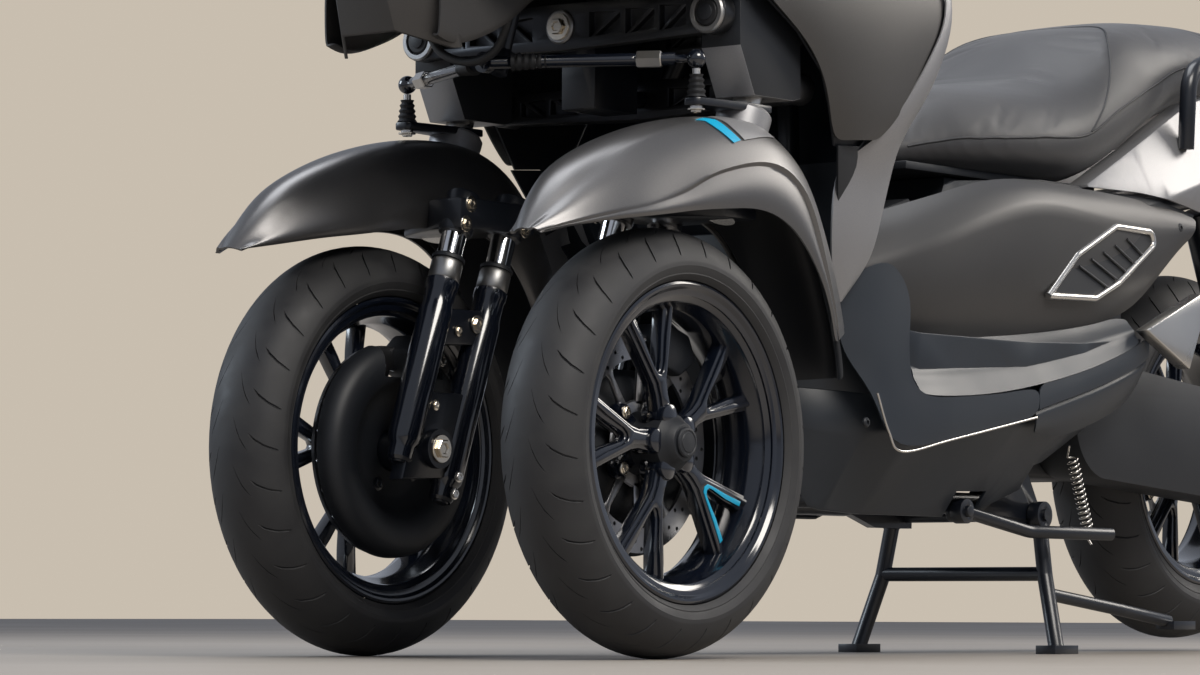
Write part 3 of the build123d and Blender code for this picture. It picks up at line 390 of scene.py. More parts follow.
def drifting(name, colour, other, rough, scale, detail, uneven):
    """Material whose colour and roughness drift; uneven holds the lowest and highest share of roughness."""
    material = bpy.data.materials.new(name)
    material.use_nodes = True
    tree = material.node_tree
    shader = tree.nodes["Principled BSDF"]
    drift = noise(tree, scale, detail)
    low, high = uneven
    tree.links.new(ramp(tree, drift, colour, other), shader.inputs["Base Color"])
    tree.links.new(spread(tree, drift, rough * low, rough * high), shader.inputs["Roughness"])
    return material, tree, shader


def finish(name, colour, other, rough, metallic=0.0, grain=900.0, strength=0.15, depth=0.1, coat=0.0,
           cloud=6.0):
    """General finish: drifting colour, uneven roughness and a fine grain."""
    material, tree, shader = drifting(name, colour, other, rough, cloud, 4.0, (0.86, 1.14))
    shader.inputs["Metallic"].default_value = metallic
    shader.inputs["Coat Weight"].default_value = coat
    shader.inputs["Coat Roughness"].default_value = 0.12
    if strength:
        bump(tree, shader, noise(tree, grain, 2.0), strength, depth)
    return material


def metallic_paint(name, colour, other, rough, metallic):
    """Paint with tiny bright flakes."""
    material, tree, shader = drifting(name, colour, other, rough, 3.0, 2.0, (0.92, 1.08))
    body = shader.inputs["Base Color"].links[0].from_socket
    flakes = noise(tree, 2600.0, 1.0)
    glint = ramp(tree, flakes, (0.9, 0.9, 0.9), (1.14, 1.13, 1.12), 0.42, 0.62)
    mix = tree.nodes.new("ShaderNodeMix")
    mix.data_type = "RGBA"
    mix.blend_type = "MULTIPLY"
    mix.inputs[0].default_value = 1.0
    tree.links.new(body, mix.inputs[6])
    tree.links.new(glint, mix.inputs[7])
    tree.links.new(mix.outputs[2], shader.inputs["Base Color"])
    shader.inputs["Metallic"].default_value = metallic
    bump(tree, shader, flakes, 0.06, 0.05)
    return material


def leather(name, colour, other, rough):
    """Vinyl with a pebble grain."""
    material, tree, shader = drifting(name, colour, other, rough, 9.0, 4.0, (0.9, 1.1))
    coords = tree.nodes.new("ShaderNodeTexCoord")
    cells = tree.nodes.new("ShaderNodeTexVoronoi")
    cells.feature = "DISTANCE_TO_EDGE"
    cells.inputs["Scale"].default_value = 620.0
    tree.links.new(coords.outputs["Object"], cells.inputs["Vector"])
    shader.inputs["Sheen Weight"].default_value = 0.15
    bump(tree, shader, cells.outputs["Distance"], 0.35, 0.35)
    return material


def tread_rubber(name, colour, other, rough):
    """Rubber with a grain."""
    material, tree, shader = drifting(name, colour, other, rough, 22.0, 6.0, (0.85, 1.15))
    bump(tree, shader, noise(tree, 700.0, 4.0), 0.25, 0.25)
    return material


def clear(name, colour, rough):
    """Clear plastic."""
    material, _, shader = drifting(name, colour, colour, rough, 40.0, 2.0, (1.0, 1.3))
    shader.inputs["Transmission Weight"].default_value = 1.0
    shader.inputs["IOR"].default_value = 1.35
    return material


FAIRING = metallic_paint("fairing_paint", (0.070, 0.067, 0.065), (0.080, 0.077, 0.075), 0.46, metallic=0.55)
STRIP = metallic_paint("strip_paint", (0.27, 0.27, 0.28), (0.30, 0.30, 0.31), 0.42, metallic=0.55)
FENDER = metallic_paint("fender_paint", (0.150, 0.148, 0.150), (0.170, 0.168, 0.168), 0.36, metallic=0.8)
SLATE = finish("slate_plastic", (0.016, 0.021, 0.029), (0.021, 0.027, 0.036), 0.44, strength=0.3, depth=0.12)
SIDE_GREY = metallic_paint("side_paint", (0.060, 0.059, 0.060), (0.070, 0.069, 0.069), 0.44, metallic=0.5)
MATTE_BLACK = finish("matte_black_plastic", (0.010, 0.012, 0.016), (0.014, 0.016, 0.020), 0.55,
                     strength=0.35, depth=0.15)
FRAME_BLACK = finish("frame_black", (0.006, 0.008, 0.013), (0.009, 0.011, 0.016), 0.34, coat=0.2)
GLOSS_BLACK = finish("gloss_black", (0.004, 0.006, 0.012), (0.006, 0.008, 0.014), 0.16, strength=0.03,
                     coat=1.0)
CAST = finish("cast_silver", (0.36, 0.36, 0.36), (0.45, 0.44, 0.43), 0.42, metallic=1.0, grain=500.0,
              strength=0.4, depth=0.25)
ARM_CAST = finish("arm_cast", (0.045, 0.047, 0.052), (0.065, 0.067, 0.072), 0.36, metallic=0.85, grain=600.0)
STEEL = finish("bright_steel", (0.62, 0.60, 0.57), (0.72, 0.70, 0.66), 0.26, metallic=1.0, grain=1200.0)
CHROME = finish("chrome", (0.74, 0.74, 0.75), (0.80, 0.80, 0.80), 0.09, metallic=1.0, strength=0.02)
ZINC = finish("zinc_plate", (0.72, 0.64, 0.52), (0.80, 0.74, 0.64), 0.24, metallic=1.0, strength=0.1)
DISC = finish("disc_steel", (0.34, 0.34, 0.35), (0.45, 0.45, 0.46), 0.30, metallic=1.0, grain=1500.0)
TREAD = tread_rubber("tread_rubber", (0.020, 0.020, 0.022), (0.030, 0.030, 0.031), 0.62)
RUBBER = tread_rubber("moulded_rubber", (0.010, 0.011, 0.013), (0.016, 0.016, 0.018), 0.55)
VINYL = leather("seat_vinyl", (0.022, 0.022, 0.025), (0.030, 0.030, 0.033), 0.52)
CYAN = finish("cyan_accent", (0.0, 0.36, 0.60), (0.0, 0.40, 0.65), 0.35, strength=0.03, coat=0.3)
SCREEN = clear("screen_clear", (0.62, 0.66, 0.70), 0.04)
LENS = clear("lens_clear", (0.85, 0.88, 0.90), 0.03)
RED_LENS = finish("red_lens", (0.35, 0.004, 0.006), (0.42, 0.006, 0.008), 0.12, strength=0.05, coat=1.0)
DIAL = finish("dial_glass", (0.005, 0.006, 0.008), (0.008, 0.009, 0.011), 0.08, strength=0.0, coat=1.0)


# Camera, floor, backdrop and lamps

CAMERA_PLACE = (5163.0, 3556.1, 58.6)
CAMERA_FORWARD = (-0.78448, -0.61718, 0.06068)
CAMERA_RIGHT = (-0.61818, 0.78603, 0.00282)
FOCAL_PIXELS = 4494.5
IMAGE_WIDTH = 1200.0
SENSOR = 36.0


def add_camera():
    """Camera with a long lens, low in front of the vehicle's left side."""
    data = bpy.data.cameras.new("camera")
    data.sensor_width = SENSOR
    data.lens = FOCAL_PIXELS / IMAGE_WIDTH * SENSOR
    data.clip_end = 80.0
    camera = link("camera", data)
    forward = Vector(CAMERA_FORWARD).normalized()
    right = Vector(CAMERA_RIGHT).normalized()
    matrix = Matrix((right, right.cross(forward), -forward)).transposed().to_4x4()
    matrix.translation = Vector(CAMERA_PLACE) * MM
    camera.matrix_world = matrix
    bpy.context.scene.camera = camera


FLOOR_HALF = 16000.0
FLOOR_COLOUR = (0.285, 0.255, 0.222)
FLOOR_OTHER = tuple(c * 0.96 for c in FLOOR_COLOUR)
FILL_COLOUR = (0.80, 0.86, 1.0)
FILL_STRENGTH = 0.38
BACKDROP_COLOUR = (0.58, 0.515, 0.43)


def add_floor():
    """Plain floor."""
    corners = [(x * FLOOR_HALF, y * FLOOR_HALF, 0) for x, y in ((-1, -1), (1, -1), (1, 1), (-1, 1))]
    floor = make("floor", corners, [(0, 1, 2, 3)])
    paint(floor, finish("floor_finish", FLOOR_COLOUR, FLOOR_OTHER, 0.55, grain=60.0, strength=0.05,
                        depth=0.4, cloud=1.2))


def background(tree, colour, strength):
    """Light of one colour from all round."""
    node = tree.nodes.new("ShaderNodeBackground")
    node.inputs["Color"].default_value = (*colour, 1)
    node.inputs["Strength"].default_value = strength
    return node.outputs["Background"]


def add_world():
    """Soft light all round, with a plain backdrop where the camera or glass sees it."""
    world = bpy.data.worlds.new("studio")
    bpy.context.scene.world = world
    world.use_nodes = True
    tree = world.node_tree
    tree.nodes.clear()
    output = tree.nodes.new("ShaderNodeOutputWorld")
    rays = tree.nodes.new("ShaderNodeLightPath")
    seen = tree.nodes.new("ShaderNodeMath")
    seen.operation = "MAXIMUM"
    mix = tree.nodes.new("ShaderNodeMixShader")
    tree.links.new(rays.outputs["Is Camera Ray"], seen.inputs[0])
    tree.links.new(rays.outputs["Is Transmission Ray"], seen.inputs[1])
    tree.links.new(seen.outputs["Value"], mix.inputs["Fac"])
    tree.links.new(background(tree, FILL_COLOUR, FILL_STRENGTH), mix.inputs[1])
    tree.links.new(background(tree, BACKDROP_COLOUR, 1.0), mix.inputs[2])
    tree.links.new(mix.outputs["Shader"], output.inputs["Surface"])


# columns: name, place, aimed at, width, height, watts, colour
LAMPS = (
    ("key", (1800, 3600, 3600), (200, 0, 500), 2600, 1800, 190.0, (1.0, 0.95, 0.88)),
    ("top", (200, -300, 4200), (100, 0, 500), 3200, 2400, 120.0, (0.95, 0.97, 1.0)),
    ("far", (2600, -3800, 2400), (600, 0, 500), 1800, 1800, 80.0, (0.80, 0.90, 1.0)),
    ("rear", (-3600, 1800, 2600), (-400, 0, 500), 2000, 1600, 80.0, (1.0, 0.94, 0.86)),
)


def add_lamps():
    """Large soft lamps."""
    for name, place_at, aim, width, height, watts, colour in LAMPS:
        data = bpy.data.lights.new(name, "AREA")
        data.shape = "RECTANGLE"
        data.size = width * MM
        data.size_y = height * MM
        data.energy = watts
        data.color = colour
        lamp = link(name, data)
        lamp.location = Vector(place_at) * MM
        direction = Vector(aim) - Vector(place_at)
        lamp.rotation_euler = direction.to_track_quat("-Z", "Y").to_euler()


bpy.context.scene.view_settings.view_transform = "Standard"
add_camera()
add_floor()
add_world()
add_lamps()

# Mechanical pieces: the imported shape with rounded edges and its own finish

BODY_OF = {node: body for body, nodes in frame["record"]["behaviour"]["bodies"].items() for node in nodes}


NODE_WELD = 0.02
FLAT_ANGLE = 0.6
# distance from the middle where a panel's set-back begins and where it is full
SET_BACK_FROM = 60
SET_BACK_FULL = 150


def copy_of(node, name):
    """A clean copy of a node's shape, with flat faces joined up."""
    obj = link(name, NODES[node].data.copy())
    bm = bmesh.new()
    bm.from_mesh(obj.data)
    bmesh.ops.remove_doubles(bm, verts=bm.verts, dist=NODE_WELD * MM)
    bmesh.ops.dissolve_limit(bm, angle_limit=math.radians(FLAT_ANGLE), verts=bm.verts, edges=bm.edges)
    bm.to_mesh(obj.data)
    bm.free()
    obj.data.materials.clear()
    return obj


def show(obj, node, material):
    """Give a piece its finish and let it stand for a node."""
    return place(paint(obj, material), BODY_OF[node], [node])


def dress(node, material, width):
    """Show a node with rounded edges and a finish."""
    obj = copy_of(node, node + "_dressed")
    if width:
        round_edges(obj, width)
    else:
        shade(obj, 35.0)
    return show(obj, node, material)


def backing(node, material, width, inset):
    """Show a panel set back from its side, behind a smooth skin."""
    obj = copy_of(node, node + "_backing")
    for vert in obj.data.vertices:
        side = 1 if vert.co.y > 0 else -1
        share = smoothstep(SET_BACK_FROM, SET_BACK_FULL, abs(vert.co.y) / MM)
        vert.co.y -= side * inset * share * MM
    return show(round_edges(obj, width), node, material)


# columns: node, finish, edge radius, how far it is set back
BACKED = (
    ("fairing_strips", MATTE_BLACK, 1.0, 9.0),
    ("fairings", MATTE_BLACK, 1.0, 15.0),
    ("lower_cowls", SLATE, 1.2, 9.0),
    ("floor_panels", SLATE, 1.2, 9.0),
    ("leg_shield", SLATE, 1.2, 9.0),
    ("side_panels", MATTE_BLACK, 1.0, 9.0),
)

# columns: node, finish, edge radius
DRESSED = (
    ("upper_arm", ARM_CAST, 1.5),
    ("lower_arm", ARM_CAST, 1.5),
    ("lean_bracket", FRAME_BLACK, 2.0),
    ("tie_rods", GLOSS_BLACK, 0.0),
    ("tie_block", FRAME_BLACK, 0.6),
    ("handlebar", FRAME_BLACK, 0.8),
    ("grips", RUBBER, 2.0),
    ("mirrors", MATTE_BLACK, 3.0),
    ("frame", FRAME_BLACK, 0.0),
    ("centre_stand", FRAME_BLACK, 1.0),
    ("side_stand", FRAME_BLACK, 1.0),
    ("side_stand_lug", FRAME_BLACK, 1.0),
    ("engine_block", MATTE_BLACK, 6.0),
    ("belt_case", MATTE_BLACK, 5.0),
    ("muffler", MATTE_BLACK, 5.0),
    ("radiator", MATTE_BLACK, 2.0),
    ("rear_shocks", FRAME_BLACK, 1.5),
    ("passenger_pegs", STEEL, 1.5),
    ("headlamps", LENS, 1.0),
    ("front_cowl", FAIRING, 1.2),
    ("windscreen", SCREEN, 0.6),
    ("instruments", DIAL, 3.0),
    ("tunnel", SLATE, 1.2),
    ("rear_cowls", STRIP, 1.2),
    ("storage_tub", MATTE_BLACK, 2.0),
    ("tail_lamp", RED_LENS, 3.0),
    ("rear_mudguard", MATTE_BLACK, 1.5),
    ("grab_rails", FRAME_BLACK, 1.0),
)


# Tyres: a crown with two rows of curved grooves each side, and a plain ribbed sidewall

PITCHES = 28
GROOVE_DEPTH = 3.4
# angle from the middle of the crown, and how far a groove's line has run back by there, in millimetres
GROOVE_LINE = ((0.0, 0.0), (10.0, 2.0), (14.0, 16.0), (20.0, 31.0), (27.0, 43.0), (36.0, 53.0),
               (48.0, 61.0), (60.0, 66.0), (80.0, 70.0))
# how far the crown's edge lies below its middle, in half widths
CROWN_DROP = 0.734
CROWN_STEPS = 30
BEAD_RADIUS = 196.6
# the two halves of a pitch: place of the groove's middle and of the land after it
PITCH_HALVES = ((0.0, 0.31), (0.62, 0.81))
# where a groove's walls and floor lie, in half widths
GROOVE_STEPS = (-1.0, -0.6, 0.6, 1.0)
# columns: angle where a groove starts and ends, half width
INNER_GROOVE = (10.0, 28.0, 1.3)
OUTER_GROOVE = (29.0, 65.0, 1.9)


def along_table(table, value):
    """Straight-line reading of a table of pairs."""
    for (a, fa), (b, fb) in zip(table, table[1:]):
        if value <= b:
            return fa + (fb - fa) * (value - a) / (b - a)
    return table[-1][1]


def tyre_section(radius, half, bead_half):
    """Section of a tyre from bead to bead: radius, distance across, angle from the crown's middle."""
    drop = half * CROWN_DROP
    crown = (drop * drop + half * half) / (2 * drop)
    edge = math.degrees(math.asin(half / crown))
    shoulder = radius - drop
    side = [(shoulder - 3.0, half - 0.2), (shoulder - 4.0, half), (shoulder - 5.0, half - 0.4),
            (shoulder - 9.0, half - 1.4), (shoulder - 13.0, half - 3.4), (shoulder - 14.5, half - 3.2),
            (shoulder - 16.0, half - 4.6), (shoulder - 19.0, half - 7.4), (BEAD_RADIUS, bead_half + 0.6)]
    section = [(level, -across, -edge) for level, across in reversed(side)]
    for i in range(-CROWN_STEPS, CROWN_STEPS + 1):
        angle = edge * i / CROWN_STEPS
        turn = math.radians(angle)
        section.append((radius - crown + crown * math.cos(turn), crown * math.sin(turn), angle))
    return section + [(level, across, edge) for level, across in side]


def tyre_mesh(name, centre, radius, half, bead_half, outward):
    """Tyre whose crown is an arc through the shoulders; outward is +1 or -1 for the side that looks out."""
    section = tyre_section(radius, half, bead_half)
    edge = section[-1][2]
    pitch = 2 * math.pi * radius / PITCHES
    steps = GROOVE_STEPS + (None,)
    columns = [(i, inner, step) for i in range(PITCHES) for inner in (True, False) for step in steps]
    points = []
    for i, inner, step in columns:
        middle, land = PITCH_HALVES[0 if inner else 1]
        for level, across, angle in section:
            start, end, wide = INNER_GROOVE if inner == (angle > 0) else OUTER_GROOVE
            amount = smoothstep(start, start + 5, abs(angle)) * (1 - smoothstep(end - 5, end, abs(angle)))
            if step is None:
                along = land
            else:
                along = middle + step * (0.35 + 0.65 * amount) * wide / pitch
                if abs(step) < 1 and abs(angle) < edge:
                    level -= GROOVE_DEPTH * amount
            back = along_table(GROOVE_LINE, abs(angle)) / radius
            turn = 2 * math.pi * (i + along) / PITCHES - back
            out = Vector((-math.cos(turn) * level, across * outward, -math.sin(turn) * level))
            points.append(Vector(centre) + out)
    faces = grid_faces(len(columns), len(section), ring_rows=True)
    return shade(recalculate(make(name, points, faces)), 30.0)


# columns: node, body, radius, half width, half width at the bead, side that looks out
TYRES = (
    ("front_tyre_left", "wheel_left", 262.0, 60.0, 49.0, 1),
    ("front_tyre_right", "wheel_right", 262.0, 60.0, 49.0, -1),
    ("rear_tyre", "rear_wheel", 276.0, 70.0, 59.0, 1),
)


def middle_of(node):
    """Middle of a node's box, in millimetres."""
    low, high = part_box(node)
    return (low / MM + high / MM) / 2


def add_tyres():
    """Three tyres."""
    for node, body, *shape in TYRES:
        obj = tyre_mesh(node + "_tread", middle_of(node), *shape)
        place(paint(obj, TREAD), body, [node])


# Wheels: barrel, forked spokes, lobed hub with a cap, and a perforated brake disc

SPOKES = 5
AXLE_BORE = 10.5
SPOKE_ANGLE = 75.0
SPOKE_LOW = 3.0
SPOKE_HIGH = 25.0
HUB_RADIUS = 34.0
# half of a spoke's outline: distance from the axle and half width, from the hub over the rim to the crotch
SPOKE_OUTLINE = ((30, 15), (46, 13), (62, 12), (76, 14.5), (92, 21), (128, 36), (167, 53), (172, 44),
                 (174, 33), (128, 15.5), (98, 6.5), (91, 4), (88, 0))
# half of the raised rib on the spoke's face
RIB_OUTLINE = ((40, 8.5), (58, 7.0), (76, 8.5), (92, 15.5), (128, 31), (164, 46), (167, 40), (128, 21.5),
               (97, 10.5), (88, 5.5), (85, 0))
# half of the coloured strip that edges one spoke's crotch
ACCENT_OUTLINE = ((82, 0), (85, 6.5), (94, 10.5), (124, 22), (150, 33.5), (151.5, 27), (124, 15.5),
                  (98, 8), (91, 5), (88.5, 0))


def whole_outline(half):
    """Whole outline from one half of it."""
    return list(half) + [(u, -v) for u, v in reversed(half) if v > 0]


def wheel_point(centre, outward, radius, angle, along):
    """Place in a wheel, from its axle; the angle runs up from the front."""
    turn = math.radians(angle)
    return Vector(centre) + Vector((math.cos(turn) * radius, outward * along, math.sin(turn) * radius))


def rim_profile(width):
    """Closed section of the barrel: lips, bead seats and well."""
    foot = width / 2 - 14.0
    loop = [(161, foot - 32), (163, foot - 25), (170, foot - 13), (171.5, foot - 8), (175, foot - 5),
            (183, foot - 2), (186.5, foot + 2), (189, foot + 4.4), (192, foot + 5), (195, foot + 3.6),
            (195, foot + 0.6), (180, foot), (178, foot - 1), (178, foot - 15), (168, foot - 22)]
    return loop + [(radius, -along) for radius, along in reversed(loop)] + [loop[0]]


DISC_RINGS = 3
DISC_SECTORS = 42
DISC_WIDTH = 30
DISC_THICK = 4.5
HOLE_SHARE = 0.27
RING_SHIFT = 0.33
# points round one cell of the ring: share of its turn, share of its depth
CELL = ((0, 0), (0.5, 0), (1, 0), (1, 0.5), (1, 1), (0.5, 1), (0, 1), (0, 0.5))


def perforated_ring(centre, outward, radius_outside, along):
    """Flat ring with a pattern of round holes."""
    inner = radius_outside - DISC_WIDTH
    depth = DISC_WIDTH / DISC_RINGS
    hole = depth * HOLE_SHARE
    step = 2 * math.pi / DISC_SECTORS
    count = len(CELL)
    points = []
    faces = []

    def add_point(radius, turn):
        points.append(centre + Vector((math.cos(turn) * radius, outward * along, math.sin(turn) * radius)))

    for i in range(DISC_SECTORS):
        for j in range(DISC_RINGS):
            turn = step * i + step * RING_SHIFT * j
            radius = inner + depth * j
            middle = radius + depth / 2
            start = len(points)
            for u, v in CELL:
                add_point(radius + depth * v, turn + step * u)
            for u, v in CELL:
                bearing = math.atan2(v - 0.5, u - 0.5)
                beside = turn + step / 2 + hole * math.cos(bearing) / middle
                add_point(middle + hole * math.sin(bearing), beside)
            if (i + j) % 2:
                faces.append(tuple(range(start, start + count)))
                continue
            for a, b, c, d in grid_faces(2, count, ring_columns=True):
                faces.append((start + a, start + b, start + c, start + d))
    obj = recalculate(make("band", points, faces))
    return shade(thicken(obj, DISC_THICK, 0.0), 30.0)


LOBE = ((0, -6), (15, -6), (16, -4), (16, 24), (14, 28), (9, 30), (0, 30.5))
POST = ((0, 0), (11, 0), (12.5, 8), (9, 18), (0, 18))
POST_RADIUS = 58
WEB = ((26, -11), (60, -9), (60, 9), (26, 11))
CAP = ((0, -1), (18.5, -1), (18.5, 3), (17.4, 4.6), (15.0, 5.2), (14.2, 4.4), (12.6, 4.4), (11.6, 5.4),
       (4, 6.0), (0, 6.1))
CARRIER = ((34, -2), (52, -2), (54, 0), (52, 2), (34, 2), (34, -2))
# rubber valve: distance from the axle, distance along it, radius
VALVE = ((164, -6, 5.0), (150, -6, 4.2), (134, -8, 4.2))
VALVE_ANGLE = 147


def add_wheel(label, body, rim, tyre, width, outward, disc_radius, disc_at, hub_high, accent):
    """One wheel's metal; the accent is a strip on one spoke."""
    centre = middle_of(tyre)
    axis = (0, outward, 0)

    def turned(name, material, profile, segments, radius=0, angle=0):
        spot = wheel_point(centre, outward, radius, angle, 0)
        return paint(lathe(name, profile, spot, axis, segments), material)

    def flat(name, material, outline, angle, low, high, bevel):
        radial = wheel_point((0, 0, 0), outward, 1, angle, 0)
        origin = centre + Vector((0, outward * low, 0))
        across = Vector(axis).cross(radial)
        return paint(plate(name, outline, origin, radial, across, high - low, bevel), material)

    metal = [turned(label + "_barrel", GLOSS_BLACK, rim_profile(width), 120)]
    spoke = whole_outline(SPOKE_OUTLINE)
    rib = whole_outline(RIB_OUTLINE)
    for i in range(SPOKES):
        angle = SPOKE_ANGLE + i * 360 / SPOKES
        between = angle + 180 / SPOKES
        metal.append(flat("spoke", GLOSS_BLACK, spoke, angle, SPOKE_LOW, SPOKE_HIGH - 4, 2.6))
        metal.append(flat("rib", GLOSS_BLACK, rib, angle, SPOKE_LOW + 6, SPOKE_HIGH, 2.2))
        metal.append(turned("lobe", GLOSS_BLACK, LOBE, 24, HUB_RADIUS - 1, angle))
        metal.append(turned("post", GLOSS_BLACK, moved_along(POST, disc_at), 24, POST_RADIUS, between))
        metal.append(flat("web", GLOSS_BLACK, WEB, between, disc_at + 2, disc_at + 14, 2.0))
        spot = wheel_point(centre, outward, POST_RADIUS, between, disc_at + 18)
        metal.append(bolt(spot, axis, 6.2, ZINC, 1.3))
    hub = [(AXLE_BORE, disc_at - 6), (HUB_RADIUS + 4, disc_at - 6), (HUB_RADIUS + 6, disc_at),
           (HUB_RADIUS, disc_at + 12), (HUB_RADIUS - 2, 0), (HUB_RADIUS + 2, 14), (HUB_RADIUS + 1, 26),
           (HUB_RADIUS - 3, 30), (27, 36), (23.5, hub_high - 2), (22, hub_high - 0.5), (19.5, hub_high),
           (AXLE_BORE, hub_high), (AXLE_BORE, disc_at - 6)]
    metal.append(turned(label + "_hub", MATTE_BLACK, hub, 64))
    metal.append(turned(label + "_cap", MATTE_BLACK, moved_along(CAP, hub_high), 48))
    metal.append(paint(perforated_ring(centre, outward, disc_radius, disc_at), DISC))
    metal.append(turned("carrier", DISC, moved_along(CARRIER, disc_at), 48))
    arm = [(48, -7), (disc_radius - 40, -4.5), (disc_radius - 28, -9), (disc_radius - 28, 9),
           (disc_radius - 40, 4.5), (48, 7)]
    for i in range(SPOKES * 2):
        metal.append(flat("disc_arm", DISC, arm, 20 + i * 36, disc_at - 2, disc_at + 2, 0.6))
    valve = [wheel_point(centre, outward, radius, VALVE_ANGLE, along) for radius, along, _ in VALVE]
    metal.append(paint(sweep("valve", valve, [row[2] for row in VALVE], 14), RUBBER))
    if accent is not None:
        strip = whole_outline(ACCENT_OUTLINE)
        metal.append(flat("accent", CYAN, strip, accent, SPOKE_HIGH - 0.5, SPOKE_HIGH + 0.7, 0.3))
    place(join(label + "_metal", metal), body, [rim])


# columns: name, body, rim and tyre, width, side that looks out, radius of the disc and where it sits on the
# axle, end of the hub, angle of the coloured strip
WHEELS = (
    ("wheel_left", "wheel_left", "front_rim_left", "front_tyre_left", 120.0, 1, 133.5, -30.0, 44.0, 219.0),
    ("wheel_right", "wheel_right", "front_rim_right", "front_tyre_right", 120.0, -1, 133.5, -30.0, 44.0,
     219.0),
    ("wheel_rear", "rear_wheel", "rear_rim", "rear_tyre", 140.0, 1, 122.5, -62.0, 52.0, None),
)


# Forks: bright stanchions into black lowers, with webs, a crown and bolts

RAKE = math.radians(20.0)
RAKE_SLOPE = math.tan(RAKE)
AXLE_X = 830.0
AXLE_Z = 262.0
WHEEL_Y = 235.0
FORK_Y = 130.0
FORK_TUBE_PITCH = 93.0
FORK_TOP_Z = 592.0
CROWN_TOP_Z = FORK_TOP_Z - 8
CROWN_LOW_Z = FORK_TOP_Z - 48
KINGPIN_FOOT_X = 898.0
KINGPIN_TOP_Z = 826.0
STEER_ARM_Z = 686.0
STEER_ARM_REACH = 122.0
TIE_ROD_Z = 740.0
INWARD = (0, -1, 0)


def leg_x(z, side):
    """X of a fork leg at a height; side is +1 for the front leg."""
    return AXLE_X + (AXLE_Z - z) * RAKE_SLOPE + side * FORK_TUBE_PITCH / 2 / math.cos(RAKE)


def kingpin_x(z):
    """X of the kingpin's axis at a height."""
    return KINGPIN_FOOT_X - z * RAKE_SLOPE


TIE_BALL_X = kingpin_x(TIE_ROD_Z) + STEER_ARM_REACH


def leg_point(z, side, off=0.0):
    """Place on a fork leg's axis, moved off to the inner side."""
    return Vector((leg_x(z, side), FORK_Y - off, z))


SEAL = ((0, 0), (19.5, 0), (20.6, 2), (20.6, 22), (19.6, 25), (18.6, 27), (0, 27))
SEAL_RING = ((0, 27), (21.4, 27), (21.4, 31), (19.5, 33), (0, 33))
FOOT_BOLT = ((0, -4), (9, -4), (10, -2), (10, 0), (0, 0))
COLLAR = ((0, -6), (21, -6), (22.5, -3), (22.5, 46), (20, 50), (0, 50))


def fork_leg(side, foot_z, lower_top):
    """Stanchion, dust seal, lower tube and its foot."""
    base = leg_point(foot_z, side)
    axis = (leg_point(FORK_TOP_Z, side) - base).normalized()
    full = (leg_point(FORK_TOP_Z, side) - base).length
    length = (leg_point(lower_top, side) - base).length
    lower = [(0, -2), (13, -2), (16, 2), (16.5, 18), (20.5, 24), (22, 34), (22, length * 0.82),
             (20, length * 0.86), (20, length - 16), (21.5, length - 12), (21.5, length - 2),
             (19.5, length), (0, length)]
    stanchion = [(0, length + 30), (16.5, length + 30), (16.5, full), (0, full)]
    pieces = ((GLOSS_BLACK, lower, 40), (CAST, moved_along(SEAL, length), 40),
              (MATTE_BLACK, moved_along(SEAL_RING, length), 40), (CHROME, stanchion, 40),
              (FRAME_BLACK, FOOT_BOLT, 24))
    return [paint(lathe("leg", rows, base, axis, count), material) for material, rows, count in pieces]


# webs between the legs: lowest and highest Z, and how far each bulges
FORK_WEBS = ((398.0, 442.0, 10.0), (226.0, 334.0, 12.0))
# bolts on the webs: Z, place between the legs, size
WEB_BOLTS = ((424.0, -0.25, 7.5), (414.0, 0.1, 4.5), (330.0, -0.5, 7.5), (318.0, 0.2, 4.5))
# legs: side, Z of the foot and of the lower tube's top
FORK_LEGS = ((1, 247.0, 478.0), (-1, 198.0, 470.0))
FOOT_BOLTS_Z = (228.0, 206.0)
AXLE_HEAD = (AXLE_X, FORK_Y - 22, AXLE_Z)
STUD = ((0, -9), (8, -9), (8, 0), (5, 0), (5, 41.5), (0, 41.5))
AXLE = ((0, 0), (25, 0), (25, 86), (10, 86), (10, 170), (8, 170.5), (0, 170.5))


def fork_web(low_z, high_z, bulge):
    """Web between the legs."""
    middle_z = (low_z + high_z) / 2
    outline = [(leg_x(low_z, -1), low_z), (leg_x(low_z, 1), low_z - 4), (leg_x(middle_z, 1), middle_z),
               (leg_x(high_z, 1), high_z), (leg_x(high_z, -1), high_z), (leg_x(middle_z, -1) - 2, middle_z)]
    return paint(plate("web", outline, (0, FORK_Y + bulge, 0), X_AXIS, Z_AXIS, bulge * 2, 3.0), FRAME_BLACK)


def fork_crown():
    """Crown that carries the legs on the kingpin, with its bolts and collars."""
    middle_z = (CROWN_TOP_Z + CROWN_LOW_Z) / 2
    front_x = leg_x(middle_z, 1) + 26
    pin_x = kingpin_x(middle_z)
    outline = [(leg_x(middle_z, -1) - 26, FORK_Y - 24), (front_x, FORK_Y - 24), (front_x, FORK_Y + 20),
               (pin_x + 34, WHEEL_Y + 26), (pin_x - 34, WHEEL_Y + 26)]
    crown = plate("crown", outline, (0, 0, CROWN_LOW_Z), X_AXIS, Y_AXIS, CROWN_TOP_Z - CROWN_LOW_Z, 4.0)
    parts = [paint(crown, FRAME_BLACK)]
    for side in (1, -1):
        for z in (CROWN_LOW_Z + 6, CROWN_TOP_Z - 8):
            parts.append(bolt(leg_point(z, side, 24.0) + Vector((10 * side, 0, 0)), INWARD, 6.5, ZINC))
        foot = leg_point(CROWN_LOW_Z, side)
        collar = lathe("collar", COLLAR, foot, (leg_point(FORK_TOP_Z, side) - foot).normalized(), 36)
        parts.append(paint(collar, FRAME_BLACK))
    return parts


